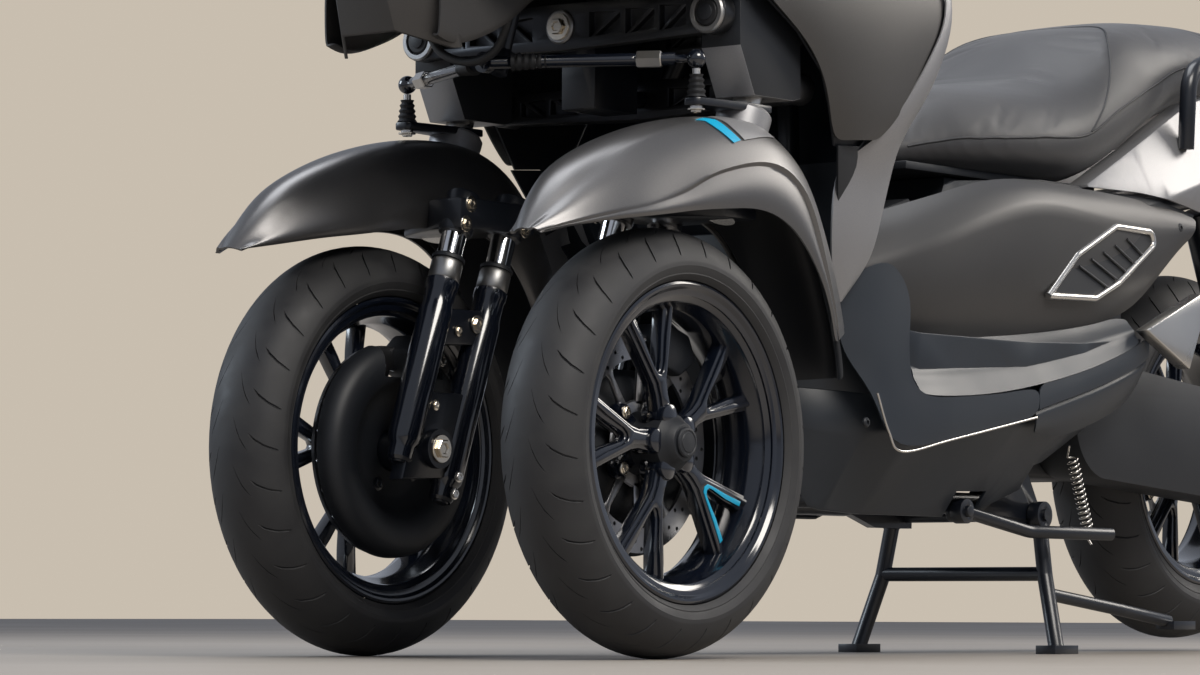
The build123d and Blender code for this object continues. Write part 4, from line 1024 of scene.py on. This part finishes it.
def fork_steering():
    """Kingpin, and the steering arm with its stud."""
    axis = Vector((-RAKE_SLOPE, 0, 1))
    foot = Vector((kingpin_x(CROWN_LOW_Z), WHEEL_Y, CROWN_LOW_Z))
    top = (KINGPIN_TOP_Z - CROWN_LOW_Z) / axis.normalized().z
    pin = [(0, 0), (18, 0), (18, top - 3), (15, top), (9, top), (9, top - 5), (0, top - 5)]
    root_x = kingpin_x(STEER_ARM_Z)
    arm = [(root_x - 24, -24), (root_x + 20, -24), (TIE_BALL_X + 8, -13), (TIE_BALL_X + 13, -8),
           (TIE_BALL_X + 13, 8), (TIE_BALL_X + 8, 13), (root_x + 20, 24), (root_x - 24, 24)]
    pin = lathe("kingpin", pin, foot, axis, 32)
    arm = plate("steering_arm", arm, (0, WHEEL_Y, STEER_ARM_Z - 5), X_AXIS, Y_AXIS, 10, 2.0)
    stud = lathe("stud", STUD, (TIE_BALL_X, WHEEL_Y, STEER_ARM_Z), Z_AXIS, 24)
    return [paint(pin, STEEL), paint(arm, FRAME_BLACK), paint(stud, STEEL)]


def add_fork_left():
    """Everything that steers with the left wheel, except the fender and the cover."""
    parts = [piece for row in FORK_LEGS for piece in fork_leg(*row)]
    parts += [fork_web(*row) for row in FORK_WEBS]
    parts += fork_crown() + fork_steering()
    parts.append(paint(lathe("axle", AXLE, AXLE_HEAD, Y_AXIS, 40), FRAME_BLACK))
    parts.append(bolt(AXLE_HEAD, INWARD, 12.5, ZINC, 1.45))
    for z, share, size in WEB_BOLTS:
        parts.append(bolt((leg_x(z, 0) + share * FORK_TUBE_PITCH, FORK_Y - 12, z), INWARD, size, ZINC))
    for z in FOOT_BOLTS_Z:
        parts.append(bolt(leg_point(z, -1, 20.0), INWARD, 6.0, STEEL, 1.3))
    return join("fork_pieces", parts)


# Cover of the brake disc: a dished drum with a rounded edge, cut back at the top

# section of the cover; the distance runs inboard from the wheel's middle
COVER = ((27, 44), (58, 44), (62, 46), (78, 52), (84, 60), (92, 66), (108, 69), (122, 68), (131, 63),
         (136, 55), (137.5, 46), (137.5, 40), (133, 40), (133, 46), (129, 57), (120, 63), (108, 64.5),
         (93, 61.5), (86, 56), (80, 48), (64, 41), (27, 40), (27, 44))
COVER_NOTCH = ((AXLE_X - 74, WHEEL_Y - 90, AXLE_Z + 92), (AXLE_X + 40, WHEEL_Y - 30, AXLE_Z + 160))
# bolts of the cover: angle, distance from the axle
COVER_BOLTS = ((140, 52), (215, 52), (300, 50))
CALIPER_FACE = -62
CALIPER_BOLTS = ((-78, 118), (-36, 130))
CALIPER = ((-66, 84), (-20, 100), (-14, 128), (-40, 150), (-84, 136), (-98, 104))


def add_cover_left():
    """Left cover with its bolts, and a caliper."""
    centre = Vector((AXLE_X, WHEEL_Y, AXLE_Z))
    cover = lathe("cover", COVER, centre, INWARD, 96)
    cut(cover, box_piece("notch", *COVER_NOTCH, 0))
    parts = [paint(shade(cover, 38.0), MATTE_BLACK)]
    for angle, radius in COVER_BOLTS:
        parts.append(bolt(wheel_point(centre, -1, radius, angle, 44), INWARD, 6.0, FRAME_BLACK, 1.5))
    caliper = plate("caliper", CALIPER, centre + Vector((0, CALIPER_FACE, 0)), X_AXIS, Z_AXIS, -50, 5.0)
    parts.append(paint(caliper, MATTE_BLACK))
    for u, v in CALIPER_BOLTS:
        parts.append(bolt(centre + Vector((u, CALIPER_FACE, v)), INWARD, 7.0, STEEL, 1.2))
    return join("cover_pieces", parts)


def place_pair(left, twin_name, nodes=None):
    """A piece of the left fork, then its mirror image, each riding on its side's fork; nodes are named by a
    stem and a side.
    """
    for side in ("left", "right"):
        piece = left if side == "left" else mirror_copy(left, twin_name)
        place(piece, "fork_" + side, [nodes + side] if nodes else ())


def add_forks():
    """Both forks and covers."""
    place_pair(add_fork_left(), "fork_pieces_right", "fork_")
    place_pair(add_cover_left(), "cover_pieces_right", "disc_cover_")


# Bodywork: smooth panels through short tables of points on the left side

def panel(name, rows, material, body, wall=2.5, creases=()):
    """Smooth panel with a wall, and its mirror image; creases are columns of points that stay sharp."""
    count = len(rows[0])
    obj = patch(name + "_left", rows)
    bm = bmesh.new()
    bm.from_mesh(obj.data)
    layer = bm.edges.layers.float.new("crease_edge")
    for edge in bm.edges:
        columns = {vert.index % count for vert in edge.verts}
        if len(columns) == 1 and columns.pop() in creases:
            edge[layer] = 0.8
    bm.to_mesh(obj.data)
    bm.free()
    thicken(subdivide(obj, 2), wall)
    paint(shade(obj, 42.0), material)
    pair = (obj, mirror_copy(obj, name + "_right"))
    for piece in pair:
        place(piece, body)
    return pair


# Fender: columns are the angle from straight up towards the rear, the share of the full width there, and
# the radius of the crown, its crease, the upper and lower line of the step, and the lower edge
FENDER_CENTRE = Vector((760.0, 235.0, 330.0))
FENDER_STATIONS = (
    (-62, 0.34, 377, 374, 371, 370, 369),
    (-57, 0.66, 375, 364, 347, 342, 333),
    (-48, 0.90, 372, 350, 312, 303, 289),
    (-40, 1.00, 359, 336, 292, 276, 260),
    (-30, 1.00, 345, 330, 280, 260, 238),
    (-20, 1.00, 337, 325, 274, 254, 226),
    (-10, 1.00, 335, 326, 276, 263, 220),
    (0, 1.00, 339, 332, 283, 271, 220),
    (10, 1.00, 347, 342, 296, 286, 227),
    (20, 1.00, 357, 349, 310, 300, 235),
    (30, 1.00, 361, 345, 306, 297, 239),
    (38, 1.00, 358, 333, 289, 280, 238),
    (46, 1.00, 350, 319, 271, 262, 236),
    (56, 1.00, 342, 307, 255, 247, 233),
    (66, 0.96, 336, 300, 249, 242, 231),
    (73, 0.92, 334, 297, 247, 240, 230),
)


def fender_row(angle, section, share=1.0):
    """Points across the fender; section rows are (distance across, radius)."""
    turn = math.radians(angle)
    out = Vector((-math.sin(turn), 0, math.cos(turn)))
    return [FENDER_CENTRE + out * radius + Vector((0, across * share, 0)) for across, radius in section]


def fender_rows():
    """Cross-sections of the left fender, inner edge to outer edge."""
    rows = []
    for angle, share, crown, crease, line, step, edge in FENDER_STATIONS:
        depth = smoothstep(-34, -8, angle)
        section = (
            (-60, edge), (-66, (edge + step) / 2), (-64, line), (-48, crease - 6), (-28, crown - 3),
            (-4, crown), (16, (crown * 2 + crease) / 3), (31, crease), (49, (crease + line) / 2 + 5),
            (62, line), (66, step + 1), (66 - 4 * depth, step - 4), (67 - depth, (step * 2 + edge) / 3),
            (69, (step + edge * 2) / 3), (66, edge),
        )
        rows.append(fender_row(angle, section, share))
    return rows


LINER_ANGLES = (4, 16, 28, 40, 52, 64, 73, 79, 85)


def liner_rows():
    """Cross-sections of the black liner inside the rear half of the left fender, and on below it."""
    rows = []
    for angle in LINER_ANGLES:
        near = min(FENDER_STATIONS, key=lambda row: abs(row[0] - angle))
        crown, crease, line, _, edge = near[2:]
        section = ((-58, edge + 8), (-58, line - 8), (-42, crease - 18), (-24, crown - 14), (0, crown - 12),
                   (24, crease - 12), (46, line + 2), (57, line - 12), (60, edge + 10))
        rows.append(fender_row(angle, section))
    return rows


# Coloured stripe and light field on the fender: two rails of points each, front and rear
STRIPE_RAILS = (((790, 265, 656), (780, 269, 654), (770, 278, 646), (758, 287, 634), (748, 293, 623)),
                ((770, 261, 661), (762, 268, 659), (751, 276, 651), (742, 285, 639), (733, 292, 628)))
FIELD_RAILS = (((755, 257, 664), (750, 268, 660), (740, 276, 652), (733, 285, 641), (725, 292, 629)),
               ((690, 245, 668), (674, 256, 664), (662, 266, 658), (653, 274, 650), (645, 280, 642)))
FILM_LIFT = 0.7
FILM_SEARCH = 12.0
FILM_STEPS = 12


def film(name, rails, skin, material):
    """Thin sheet between two rails, laid on a skin."""
    tree = BVHTree.FromObject(skin, bpy.context.evaluated_depsgraph_get())
    rows = []
    for a, b in zip(*[smooth_path(rail, 5) for rail in rails]):
        row = []
        for i in range(FILM_STEPS + 1):
            point = a.lerp(b, i / FILM_STEPS)
            point += (point - FENDER_CENTRE).normalized() * FILM_SEARCH
            spot, normal = tree.find_nearest(point * MM)[:2]
            row.append(spot / MM + normal * FILM_LIFT)
        rows.append(row)
    return paint(shade(thicken(patch(name, rows), 1.0), 40.0), material)


def add_fenders():
    """A fender over each front wheel."""
    left, right = panel("fender_skin", fender_rows(), FENDER, "fork_left", 3.0, (7, 10, 11))
    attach(right, "fork_right")
    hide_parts("fender_left")
    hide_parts("fender_right")
    films = [film("stripe", STRIPE_RAILS, left, CYAN), film("field", FIELD_RAILS, left, STRIP)]
    films = join("fender_films", films)
    place(films, "fork_left")
    place(mirror_copy(films, "fender_films_right"), "fork_right")
    right = panel("fender_liner", liner_rows(), MATTE_BLACK, "fork_left", 2.0)[1]
    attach(right, "fork_right")


# Fairing side: rows go up, columns run from the wheel arch to the rear edge
FAIRING_ROWS = (
    ((508, 270, 656), (488, 279, 658), (462, 283, 660), (438, 281, 662), (414, 276, 664)),
    ((532, 283, 698), (502, 290, 698), (450, 292, 698), (412, 289, 698), (376, 283, 698)),
    ((554, 288, 741), (516, 295, 741), (450, 297, 741), (398, 293, 741), (345, 285, 741)),
    ((606, 292, 786), (548, 299, 786), (450, 300, 786), (372, 295, 786), (312, 286, 786)),
    ((712, 294, 836), (610, 301, 836), (460, 300, 836), (350, 293, 836), (274, 285, 836)),
    ((733, 284, 895), (606, 295, 895), (460, 293, 895), (350, 286, 895), (272, 277, 895)),
    ((750, 262, 955), (640, 276, 955), (500, 272, 955), (400, 268, 955), (318, 262, 955)),
    ((764, 236, 1005), (700, 246, 1005), (640, 246, 1005), (596, 242, 1005), (566, 238, 1005)),
    ((782, 203, 1072), (762, 205, 1072), (744, 203, 1072), (722, 199, 1072), (704, 195, 1072)),
)

# Lighter strip behind it: columns run from its front edge to its rear edge, rows go down
STRIP_ROWS = (
    ((318, 263, 952), (312, 264, 952), (304, 263, 950), (298, 258, 948)),
    ((271, 280, 900), (265, 281, 898), (256, 279, 896), (250, 273, 894)),
    ((270, 286, 836), (262, 286, 834), (254, 284, 832), (247, 278, 830)),
    ((308, 287, 788), (298, 287, 785), (284, 284, 780), (274, 276, 776)),
    ((342, 286, 745), (330, 286, 740), (312, 282, 735), (300, 274, 732)),
    ((410, 277, 667), (392, 276, 668), (368, 270, 670), (346, 260, 672)),
    ((469, 247, 637), (430, 254, 634), (382, 252, 630), (338, 240, 630)),
    ((475, 244, 579), (442, 249, 574), (400, 248, 566), (360, 237, 560)),
    ((470, 238, 519), (444, 241, 519), (410, 240, 520), (371, 234, 521)),
    ((450, 228, 478), (434, 229, 474), (414, 228, 474), (398, 225, 484)),
    ((436, 222, 460), (430, 222, 457), (424, 222, 458), (420, 222, 464)),
)

# Side of the floor: slate skirt that runs down behind the wheel and back under the floor
SKIRT_ROWS = (
    ((392, 212, 494), (358, 223, 508), (318, 229, 520)),
    ((404, 204, 462), (352, 227, 468), (282, 235, 477)),
    ((404, 202, 425), (352, 229, 428), (290, 237, 430)),
    ((392, 205, 388), (350, 230, 386), (295, 239, 385)),
    ((358, 226, 344), (326, 237, 350), (288, 241, 355)),
    ((346, 236, 293), (304, 242, 318), (258, 243, 340)),
    ((312, 240, 268), (250, 244, 302), (206, 244, 342)),
    ((193, 242, 288), (150, 245, 316), (120, 245, 348)),
    ((90, 242, 305), (70, 245, 328), (60, 245, 354)),
    ((-10, 242, 323), (-12, 245, 344), (-13, 244, 365)),
)

# Ledge of the floor: columns run from the skirt's top over a rounded lip, into a recess and up the side
LEDGE_ROWS = (
    ((272, 243, 341), (270, 238, 352), (271, 229, 364), (268, 226, 374), (262, 208, 394),
     (246, 198, 410)),
    ((190, 244, 343), (189, 239, 354), (190, 230, 368), (190, 227, 379), (182, 209, 400),
     (170, 199, 419)),
    ((95, 244, 350), (95, 239, 361), (98, 231, 376), (100, 228, 387), (90, 209, 408), (80, 201, 429)),
    ((-13, 244, 366), (-10, 239, 375), (-10, 231, 389), (-10, 228, 399), (-20, 209, 420),
     (-30, 202, 439)),
    ((-154, 243, 394), (-150, 238, 402), (-152, 230, 416), (-152, 228, 426), (-160, 212, 441),
     (-165, 204, 454)),
    ((-286, 240, 435), (-284, 235, 441), (-286, 229, 449), (-287, 227, 455), (-290, 215, 465),
     (-295, 207, 477)),
)

# Rear piece of the floor's side, with a slot along it
SILL_ROWS = (
    ((-15, 244, 370), (-15, 246, 351), (-15, 245, 334), (-15, 237, 331), (-17, 239, 326), (-22, 235, 308),
     (-34, 220, 300)),
    ((-90, 244, 385), (-90, 246, 367), (-90, 245, 352), (-90, 237, 349), (-90, 239, 344), (-90, 233, 318),
     (-96, 214, 298)),
    ((-180, 243, 407), (-180, 245, 389), (-180, 243, 373), (-180, 236, 370), (-180, 238, 365),
     (-180, 230, 338), (-184, 210, 314)),
    ((-286, 240, 435), (-287, 241, 421), (-288, 239, 405), (-288, 232, 402), (-288, 234, 397),
     (-292, 224, 372), (-296, 205, 348)),
    ((-322, 232, 450), (-325, 231, 437), (-330, 227, 420), (-330, 222, 417), (-330, 223, 413),
     (-335, 212, 396), (-340, 198, 378)),
)

# Side panel under the seat: columns run up from the ledge to the seam below the seat
SIDE_ROWS = (
    ((322, 148, 414), (322, 176, 452), (320, 188, 490), (318, 186, 512), (316, 165, 545),
     (314, 136, 568)),
    ((238, 190, 410), (238, 214, 450), (236, 222, 500), (234, 219, 538), (228, 198, 574),
     (222, 166, 597)),
    ((150, 198, 421), (150, 223, 462), (150, 232, 520), (150, 230, 569), (150, 210, 600),
     (150, 186, 617)),
    ((60, 201, 431), (60, 225, 472), (60, 235, 536), (60, 234, 600), (60, 218, 628), (60, 198, 644)),
    ((-40, 204, 441), (-40, 226, 482), (-40, 236, 550), (-40, 237, 622), (-40, 224, 642),
     (-40, 206, 653)),
    ((-150, 206, 454), (-150, 226, 492), (-150, 234, 552), (-150, 235, 612), (-150, 226, 636),
     (-150, 208, 649)),
    ((-250, 207, 468), (-250, 224, 504), (-250, 232, 552), (-250, 233, 604), (-250, 227, 630),
     (-250, 211, 647)),
    ((-338, 207, 500), (-346, 221, 527), (-350, 229, 562), (-352, 231, 600), (-352, 227, 625),
     (-350, 214, 642)),
    ((-452, 200, 588), (-455, 211, 594), (-462, 218, 602), (-468, 220, 612), (-474, 218, 622),
     (-480, 211, 630)),
)


def add_side_body():
    """Fairing, strip, skirt, ledge, sill and side panel on both sides."""
    panel("fairing_skin", FAIRING_ROWS, FAIRING, "chassis")
    panel("strip_skin", STRIP_ROWS, STRIP, "chassis")
    panel("skirt_skin", SKIRT_ROWS, SLATE, "chassis")
    panel("ledge_skin", LEDGE_ROWS, SLATE, "chassis", creases=(3,))
    panel("sill_skin", SILL_ROWS, SLATE, "chassis", creases=(2, 3, 4))
    panel("side_skin", SIDE_ROWS, SIDE_GREY, "chassis", creases=(3,))


# Beak: the sides of the nose, down to its lower edge

# columns: X, Z of the lower edge
BEAK_EDGE = ((1072, 749), (1040, 739), (995, 753), (956, 769), (920, 790), (888, 816), (850, 828),
             (800, 835), (742, 846))
BEAK_HALF = 91.0
BEAK_TOP_Z = 868.0


def add_beak_sides():
    """A side wall left and right of the nose, with its lower edge turned in."""
    rows = []
    for x, low in BEAK_EDGE:
        section = ((BEAK_HALF - 16, low + 3), (BEAK_HALF - 3, low), (BEAK_HALF, low + 12),
                   (BEAK_HALF, BEAK_TOP_Z))
        rows.append([(x, y, z) for y, z in section])
    panel("beak_side", rows, FAIRING, "chassis", creases=(1,))


# Leaning linkage: ends of the upper arm, boots and sleeves of the tie rods, kingpin covers and hoses

ARM_FACE_X = 726.0
ARM_Z = 800.0
TIE_ROOT = Vector((876.0, 0.0, TIE_ROD_Z))
KNUCKLE_GREY_Z = 746.0
COVER_FOOT_Z = 632.0
STUD_BOOT_Z = 692.0
ARM_RING = ((18, -3), (25, -3), (26, 0), (26, 4), (24, 6), (19, 6), (18, 4), (18, -3))
ARM_PLUG = ((0, -2), (17.5, -2), (17.5, 3), (15, 5.5), (9, 6), (8, 4.5), (0, 4.5))
ARM_BOSS = ((0, -2), (22, -2), (22, 2), (20, 4), (0, 4))
ROD_SLEEVE = ((0, 0), (10, 0), (11.5, 1.5), (11.5, 30), (10, 31.5), (0, 31.5))
KINGPIN_COVER = ((0, 0), (29, 0), (32, 3), (35, 44), (35, 50), (32, 54), (0, 54))
# where a boot and a sleeve sit along a tie rod
ROD_BOOT_AT = 0.13
ROD_SLEEVE_AT = 0.72


def ribbed(length, radius, ribs, depth):
    """Section of a corrugated rubber boot that narrows along its length."""
    rows = [(0, 0)]
    for i in range(2 * ribs + 1):
        share = i / (2 * ribs)
        rows.append((radius * (1 - 0.3 * share) - (depth if i % 2 else 0), length * share))
    rows.append((0, length))
    return rows


def add_arm_ends():
    """Bright rings with rubber plugs on the upper arm, and the bolt of its middle pivot."""
    parts = []
    for y in (WHEEL_Y, -WHEEL_Y):
        spot = (ARM_FACE_X, y, ARM_Z)
        parts.append(paint(lathe("ring", ARM_RING, spot, X_AXIS, 48), CAST))
        parts.append(paint(lathe("plug", ARM_PLUG, spot, X_AXIS, 40), RUBBER))
    parts.append(paint(lathe("boss", ARM_BOSS, (ARM_FACE_X, 0, ARM_Z), X_AXIS, 40), CAST))
    parts.append(bolt((ARM_FACE_X + 4, 0, ARM_Z), X_AXIS, 11.0, ZINC))
    place(join("arm_ends", parts), "upper_arm")


def add_rod_sleeves():
    """Sleeves and boots along both tie rods."""
    parts = []
    for y in (WHEEL_Y, -WHEEL_Y):
        along = Vector((TIE_BALL_X, y, TIE_ROD_Z)) - TIE_ROOT
        axis = along.normalized()
        sleeve = lathe("sleeve", ROD_SLEEVE, TIE_ROOT + along * ROD_SLEEVE_AT, axis, 6)
        sleeve.data.shade_flat()
        boot = lathe("rod_boot", ribbed(44.0, 12.5, 5, 2.2), TIE_ROOT + along * ROD_BOOT_AT, axis, 32)
        parts += [paint(sleeve, STEEL), paint(boot, RUBBER)]
    place(join("rod_sleeves", parts), "tie_rods")


def add_knuckle(node):
    """A knuckle: black above, and grey like the kingpin's cover below."""
    obj = dress(node, MATTE_BLACK, 3.0)
    obj.data.materials.append(STRIP)
    for polygon in obj.data.polygons:
        if polygon.center.z < KNUCKLE_GREY_Z * MM:
            polygon.material_index = 1


def add_kingpin_cover_left():
    """Grey cover of the kingpin above the fender, and the boot and nut of the tie rod's stud."""
    foot = (kingpin_x(COVER_FOOT_Z), WHEEL_Y, COVER_FOOT_Z)
    cover = lathe("kingpin_cover", KINGPIN_COVER, foot, (-RAKE_SLOPE, 0, 1), 48)
    boot = lathe("stud_boot", ribbed(28.0, 13.0, 4, 2.2), (TIE_BALL_X, WHEEL_Y, STUD_BOOT_Z), Z_AXIS, 32)
    nut = bolt((TIE_BALL_X, WHEEL_Y, STEER_ARM_Z - 9), (0, 0, -1), 7.0, ZINC)
    return join("kingpin_cover", [paint(cover, STRIP), paint(boot, RUBBER), nut])


# Hoses behind the beak: each runs down on one side, across and up on the other
HOSES = (
    (((908, -72, 838), (910, -66, 790), (908, -44, 752), (903, 0, 738), (906, 42, 750), (910, 66, 788),
      (908, 72, 838)), 5.5),
    (((936, -56, 838), (938, -54, 800), (934, -30, 770), (930, 14, 764), (934, 48, 782),
      (936, 58, 838)), 4.0),
)


def add_linkage_details():
    """All small pieces of the leaning linkage."""
    add_knuckle("knuckle_left")
    add_knuckle("knuckle_right")
    add_arm_ends()
    add_rod_sleeves()
    place_pair(add_kingpin_cover_left(), "kingpin_cover_right")
    hoses = [paint(sweep("hose", smooth_path(points, 6), radius, 14), RUBBER) for points, radius in HOSES]
    place(join("hoses", hoses), "chassis")


# Seat: a foam pad on a pan, swollen between its seams
# columns: X, base Z, edge Z, half width and Z at the side, half width and Z at the top
SEAT_STATIONS = (
    (200.0, 652.0, 655.0, 88.0, 668.0, 56.0, 699.0),
    (130.0, 663.0, 668.0, 130.0, 690.0, 84.0, 738.0),
    (60.0, 663.0, 668.0, 168.0, 706.0, 108.0, 772.0),
    (-30.0, 663.0, 672.0, 186.0, 712.0, 130.0, 781.0),
    (-120.0, 663.0, 676.0, 198.0, 720.0, 146.0, 786.0),
    (-218.0, 664.0, 678.0, 202.0, 730.0, 152.0, 800.0),
    (-300.0, 666.0, 712.0, 200.0, 770.0, 146.0, 853.0),
    (-360.0, 697.0, 738.0, 196.0, 796.0, 136.0, 900.0),
    (-430.0, 735.0, 774.0, 188.0, 824.0, 132.0, 912.0),
    (-521.0, 776.0, 816.0, 177.0, 856.0, 132.0, 920.0),
    (-680.0, 816.0, 850.0, 150.0, 880.0, 112.0, 928.0),
    (-822.0, 856.0, 884.0, 122.0, 904.0, 90.0, 936.0),
)
SEAT_VOXEL = 9.0
SEAT_PRESSURE = 4.0
SEAT_SWELL_CAP = 9.0
SEAT_SEAM_REACH = 9.0
LOOKS_DOWN = -0.5
# columns: X of a seam across the seat at its middle, and how far forward it has come at the side
CROSS_SEAMS = ((-430.0, -200.0),)
SEAM_STEPS = 12
SWELL_STEPS = 20
PIPING_RADIUS = 1.7
# two corners of the pan and of the hinge's strap
PAN = ((-330, -138, 657), (150, 138, 668))
STRAP = ((120, -18, 650), (168, 18, 660))
HINGE_EYE = ((5.6, 0), (9, 0), (9, 45), (5.6, 45), (5.6, 0))
HINGE_EYE_AT = (172, -22.5, 640)


def seat_loop(x, base, edge, side, side_z, top, top_z):
    """Closed outline of the seat across the vehicle, at one place along it."""
    half = [(0.55 * side, base), (side - 12, edge), (side, side_z),
            (0.62 * side + 0.38 * top, 0.45 * side_z + 0.55 * top_z), (top, top_z), (0.5 * top, top_z + 5)]
    left = [(x, y, z) for y, z in half]
    right = [(x, -y, z) for y, z in reversed(half)]
    return [(x, 0, base)] + left + [(x, 0, top_z + 6)] + right


def seat_station(x):
    """Row of the seat's table at any place between its ends."""
    for front, rear in zip(SEAT_STATIONS, SEAT_STATIONS[1:]):
        if rear[0] <= x <= front[0]:
            share = (front[0] - x) / (front[0] - rear[0])
            return tuple(a + (b - a) * share for a, b in zip(front, rear))
    return SEAT_STATIONS[-1]


def seam_lines():
    """Lines of the seat's seams, before they are laid on its surface."""
    lines = []
    for side in (1, -1):
        lines.append([Vector((row[0], side * row[3], row[4])) for row in SEAT_STATIONS[1:]])
    for middle, forward in CROSS_SEAMS:
        line = []
        for i in range(-SEAM_STEPS, SEAM_STEPS + 1):
            share = abs(i) / SEAM_STEPS
            row = seat_station(middle - forward * share ** 3)
            along = min(share * 1.5, 1.0)
            down = max(share * 3 - 2, 0.0)
            y = row[5] * along + (row[3] - row[5]) * down
            z = row[6] + (row[4] - row[6]) * down
            line.append(Vector((row[0], math.copysign(y, i) if i else 0.0, z)))
        lines.append(line)
    return lines


def swell(obj, held):
    """Blow a closed form up like sewn foam with its held vertices fixed, and keep the result."""
    start = [vert.co.copy() for vert in obj.data.vertices]
    obj.vertex_groups.new(name="held").add(held, 1.0, "REPLACE")
    cloth = obj.modifiers.new("cloth", "CLOTH")
    cloth.settings.use_pressure = True
    cloth.settings.uniform_pressure_force = SEAT_PRESSURE
    cloth.settings.effector_weights.gravity = 0.0
    cloth.settings.vertex_group_mass = "held"
    for step in range(1, SWELL_STEPS + 1):
        bpy.context.scene.frame_set(step)
    swollen = obj.evaluated_get(bpy.context.evaluated_depsgraph_get()).to_mesh()
    ends = [vert.co.copy() for vert in swollen.vertices]
    obj.modifiers.remove(cloth)
    bpy.context.scene.frame_set(1)
    reach = SEAT_SWELL_CAP * MM
    for vert, before, after in zip(obj.data.vertices, start, ends):
        move = after - before
        vert.co = before + (move * (reach / move.length) if move.length > reach else move)
    obj.vertex_groups.clear()


def laid_on(tree, line):
    """The points of a line, each moved to the nearest place of a surface."""
    return [tree.find_nearest(point * MM)[0] / MM for point in smooth_path(line, 8)]


def seat_form():
    """Closed form of the pad with even small faces."""
    loops = [seat_loop(*row) for row in SEAT_STATIONS]
    count = len(loops[0])
    points = [p for loop in loops for p in loop]
    faces = [tuple(range(count)), tuple(reversed(range(len(points) - count, len(points))))]
    faces += [(a, d, c, b) for a, b, c, d in grid_faces(len(loops), count, ring_columns=True)]
    seat = subdivide(recalculate(make("seat_pad", points, faces)), 3)
    remesh = seat.modifiers.new("remesh", "REMESH")
    remesh.mode = "VOXEL"
    remesh.voxel_size = SEAT_VOXEL * MM
    return settle(seat)


def held_vertices(obj):
    """Vertices beside a seam, and those that look down."""
    line_points = [point for line in seam_lines() for point in smooth_path(line, 10)]
    seams = KDTree(len(line_points))
    for index, point in enumerate(line_points):
        seams.insert(point * MM, index)
    seams.balance()
    reach = SEAT_SEAM_REACH * MM
    return [vert.index for vert in obj.data.vertices
            if seams.find(vert.co)[2] < reach or vert.normal.z < LOOKS_DOWN]


def add_seat():
    """Pad, piping along its seams, pan and hinge eye."""
    seat = seat_form()
    swell(seat, held_vertices(seat))
    subdivide(seat, 1)
    paint(shade(seat, 180.0), VINYL)
    tree = BVHTree.FromObject(seat, bpy.context.evaluated_depsgraph_get())
    piping = [sweep("piping", laid_on(tree, line), PIPING_RADIUS, 10) for line in seam_lines()]
    place(seat, "seat", ["seat"])
    place(join("seat_piping", [paint(cord, RUBBER) for cord in piping]), "seat")
    pieces = (box_piece("pan", *PAN, 2.0), lathe("eye", HINGE_EYE, HINGE_EYE_AT, Y_AXIS, 32),
              box_piece("strap", *STRAP, 2.0))
    place(join("seat_pan", [paint(piece, MATTE_BLACK) for piece in pieces]), "seat")


# Details of the sides: vent in the side panel, bolts, bright trim line

VENT_OUTLINE = ((-54, 492), (-128, 553), (-229, 599), (-325, 598), (-332, 580), (-235, 520), (-174, 495))
VENT_Y = 234.5
# lower and upper line on which the slats' ends lie: X, Z of the front and rear
SLAT_LINES = (((-174, 495), (-332, 580)), ((-90, 522), (-300, 599)))
SLAT_PLACES = (0.2, 0.35, 0.5, 0.65, 0.8)
TRIM_LINE = ((371, 341), (345, 292), (313, 267), (193, 287), (-10, 323))
TRIM_Y = 243.5
SIDE_SCREWS = ((-420.0, 224.0, 611.0), (380.0, 231.0, 303.0))
SPRING_TOP = Vector((-213.0, 167.0, 292.0))
SPRING_FOOT = Vector((-270.0, 167.0, 154.0))
COIL_STEPS = 14


def coil(name, start, end, radius, wire, turns):
    """Coil spring between two points, with a straight end at each."""
    length = (end - start).length
    axis = (end - start).normalized()
    side, up = frame_of(axis)
    steps = turns * COIL_STEPS
    path = [start]
    for i in range(steps + 1):
        turn = 2 * math.pi * i / COIL_STEPS
        along = length * (0.12 + 0.76 * i / steps)
        path.append(start + axis * along + (side * math.cos(turn) + up * math.sin(turn)) * radius)
    return sweep(name, path + [end], wire, 8)


def at_y(points, y):
    """Points of a side view, put at a distance from the middle."""
    return [Vector((x, y, z)) for x, z in points]


def add_vent(label, sign):
    """Vent in one side panel: a bright ring, a dark floor and slats."""
    ring = at_y(VENT_OUTLINE, sign * VENT_Y)
    parts = [paint(sweep("vent_frame", round_path(ring + [ring[0]], 18.0, 6), 5.0, 12), STEEL)]
    floor = plate("vent_mesh", VENT_OUTLINE, (0, sign * VENT_Y - 0.5, 0), X_AXIS, Z_AXIS, 1.5, 0)
    parts.append(paint(floor, MATTE_BLACK))
    lines = [at_y(line, sign * (VENT_Y + 1.5)) for line in SLAT_LINES]
    for share in SLAT_PLACES:
        ends = [front.lerp(rear, share) for front, rear in lines]
        parts.append(paint(sweep("slat", ends, 1.6, 8), FRAME_BLACK))
    place(join("vent_" + label, parts), "chassis")


def add_side_details():
    """Vents, trim lines and bolts on both sides, and the stand's spring."""
    for sign, label in ((1, "left"), (-1, "right")):
        add_vent(label, sign)
        trim = sweep("trim_" + label, smooth_path(at_y(TRIM_LINE, sign * TRIM_Y), 10), 1.8, 10)
        place(paint(trim, STEEL), "chassis")
        screws = [screw((x, sign * y, z), (0, sign, 0), 6.5, MATTE_BLACK) for x, y, z in SIDE_SCREWS]
        place(join("side_screws_" + label, screws), "chassis")
    spring = coil("stand_coil", SPRING_TOP, SPRING_FOOT, 7.2, 1.7, 15)
    show(spring, "stand_spring", STEEL)


for row in DRESSED:
    dress(*row)
for row in BACKED:
    backing(*row)
add_tyres()
for row in WHEELS:
    add_wheel(*row)
add_forks()
add_fenders()
add_side_body()
add_beak_sides()
add_linkage_details()
add_seat()
add_side_details()
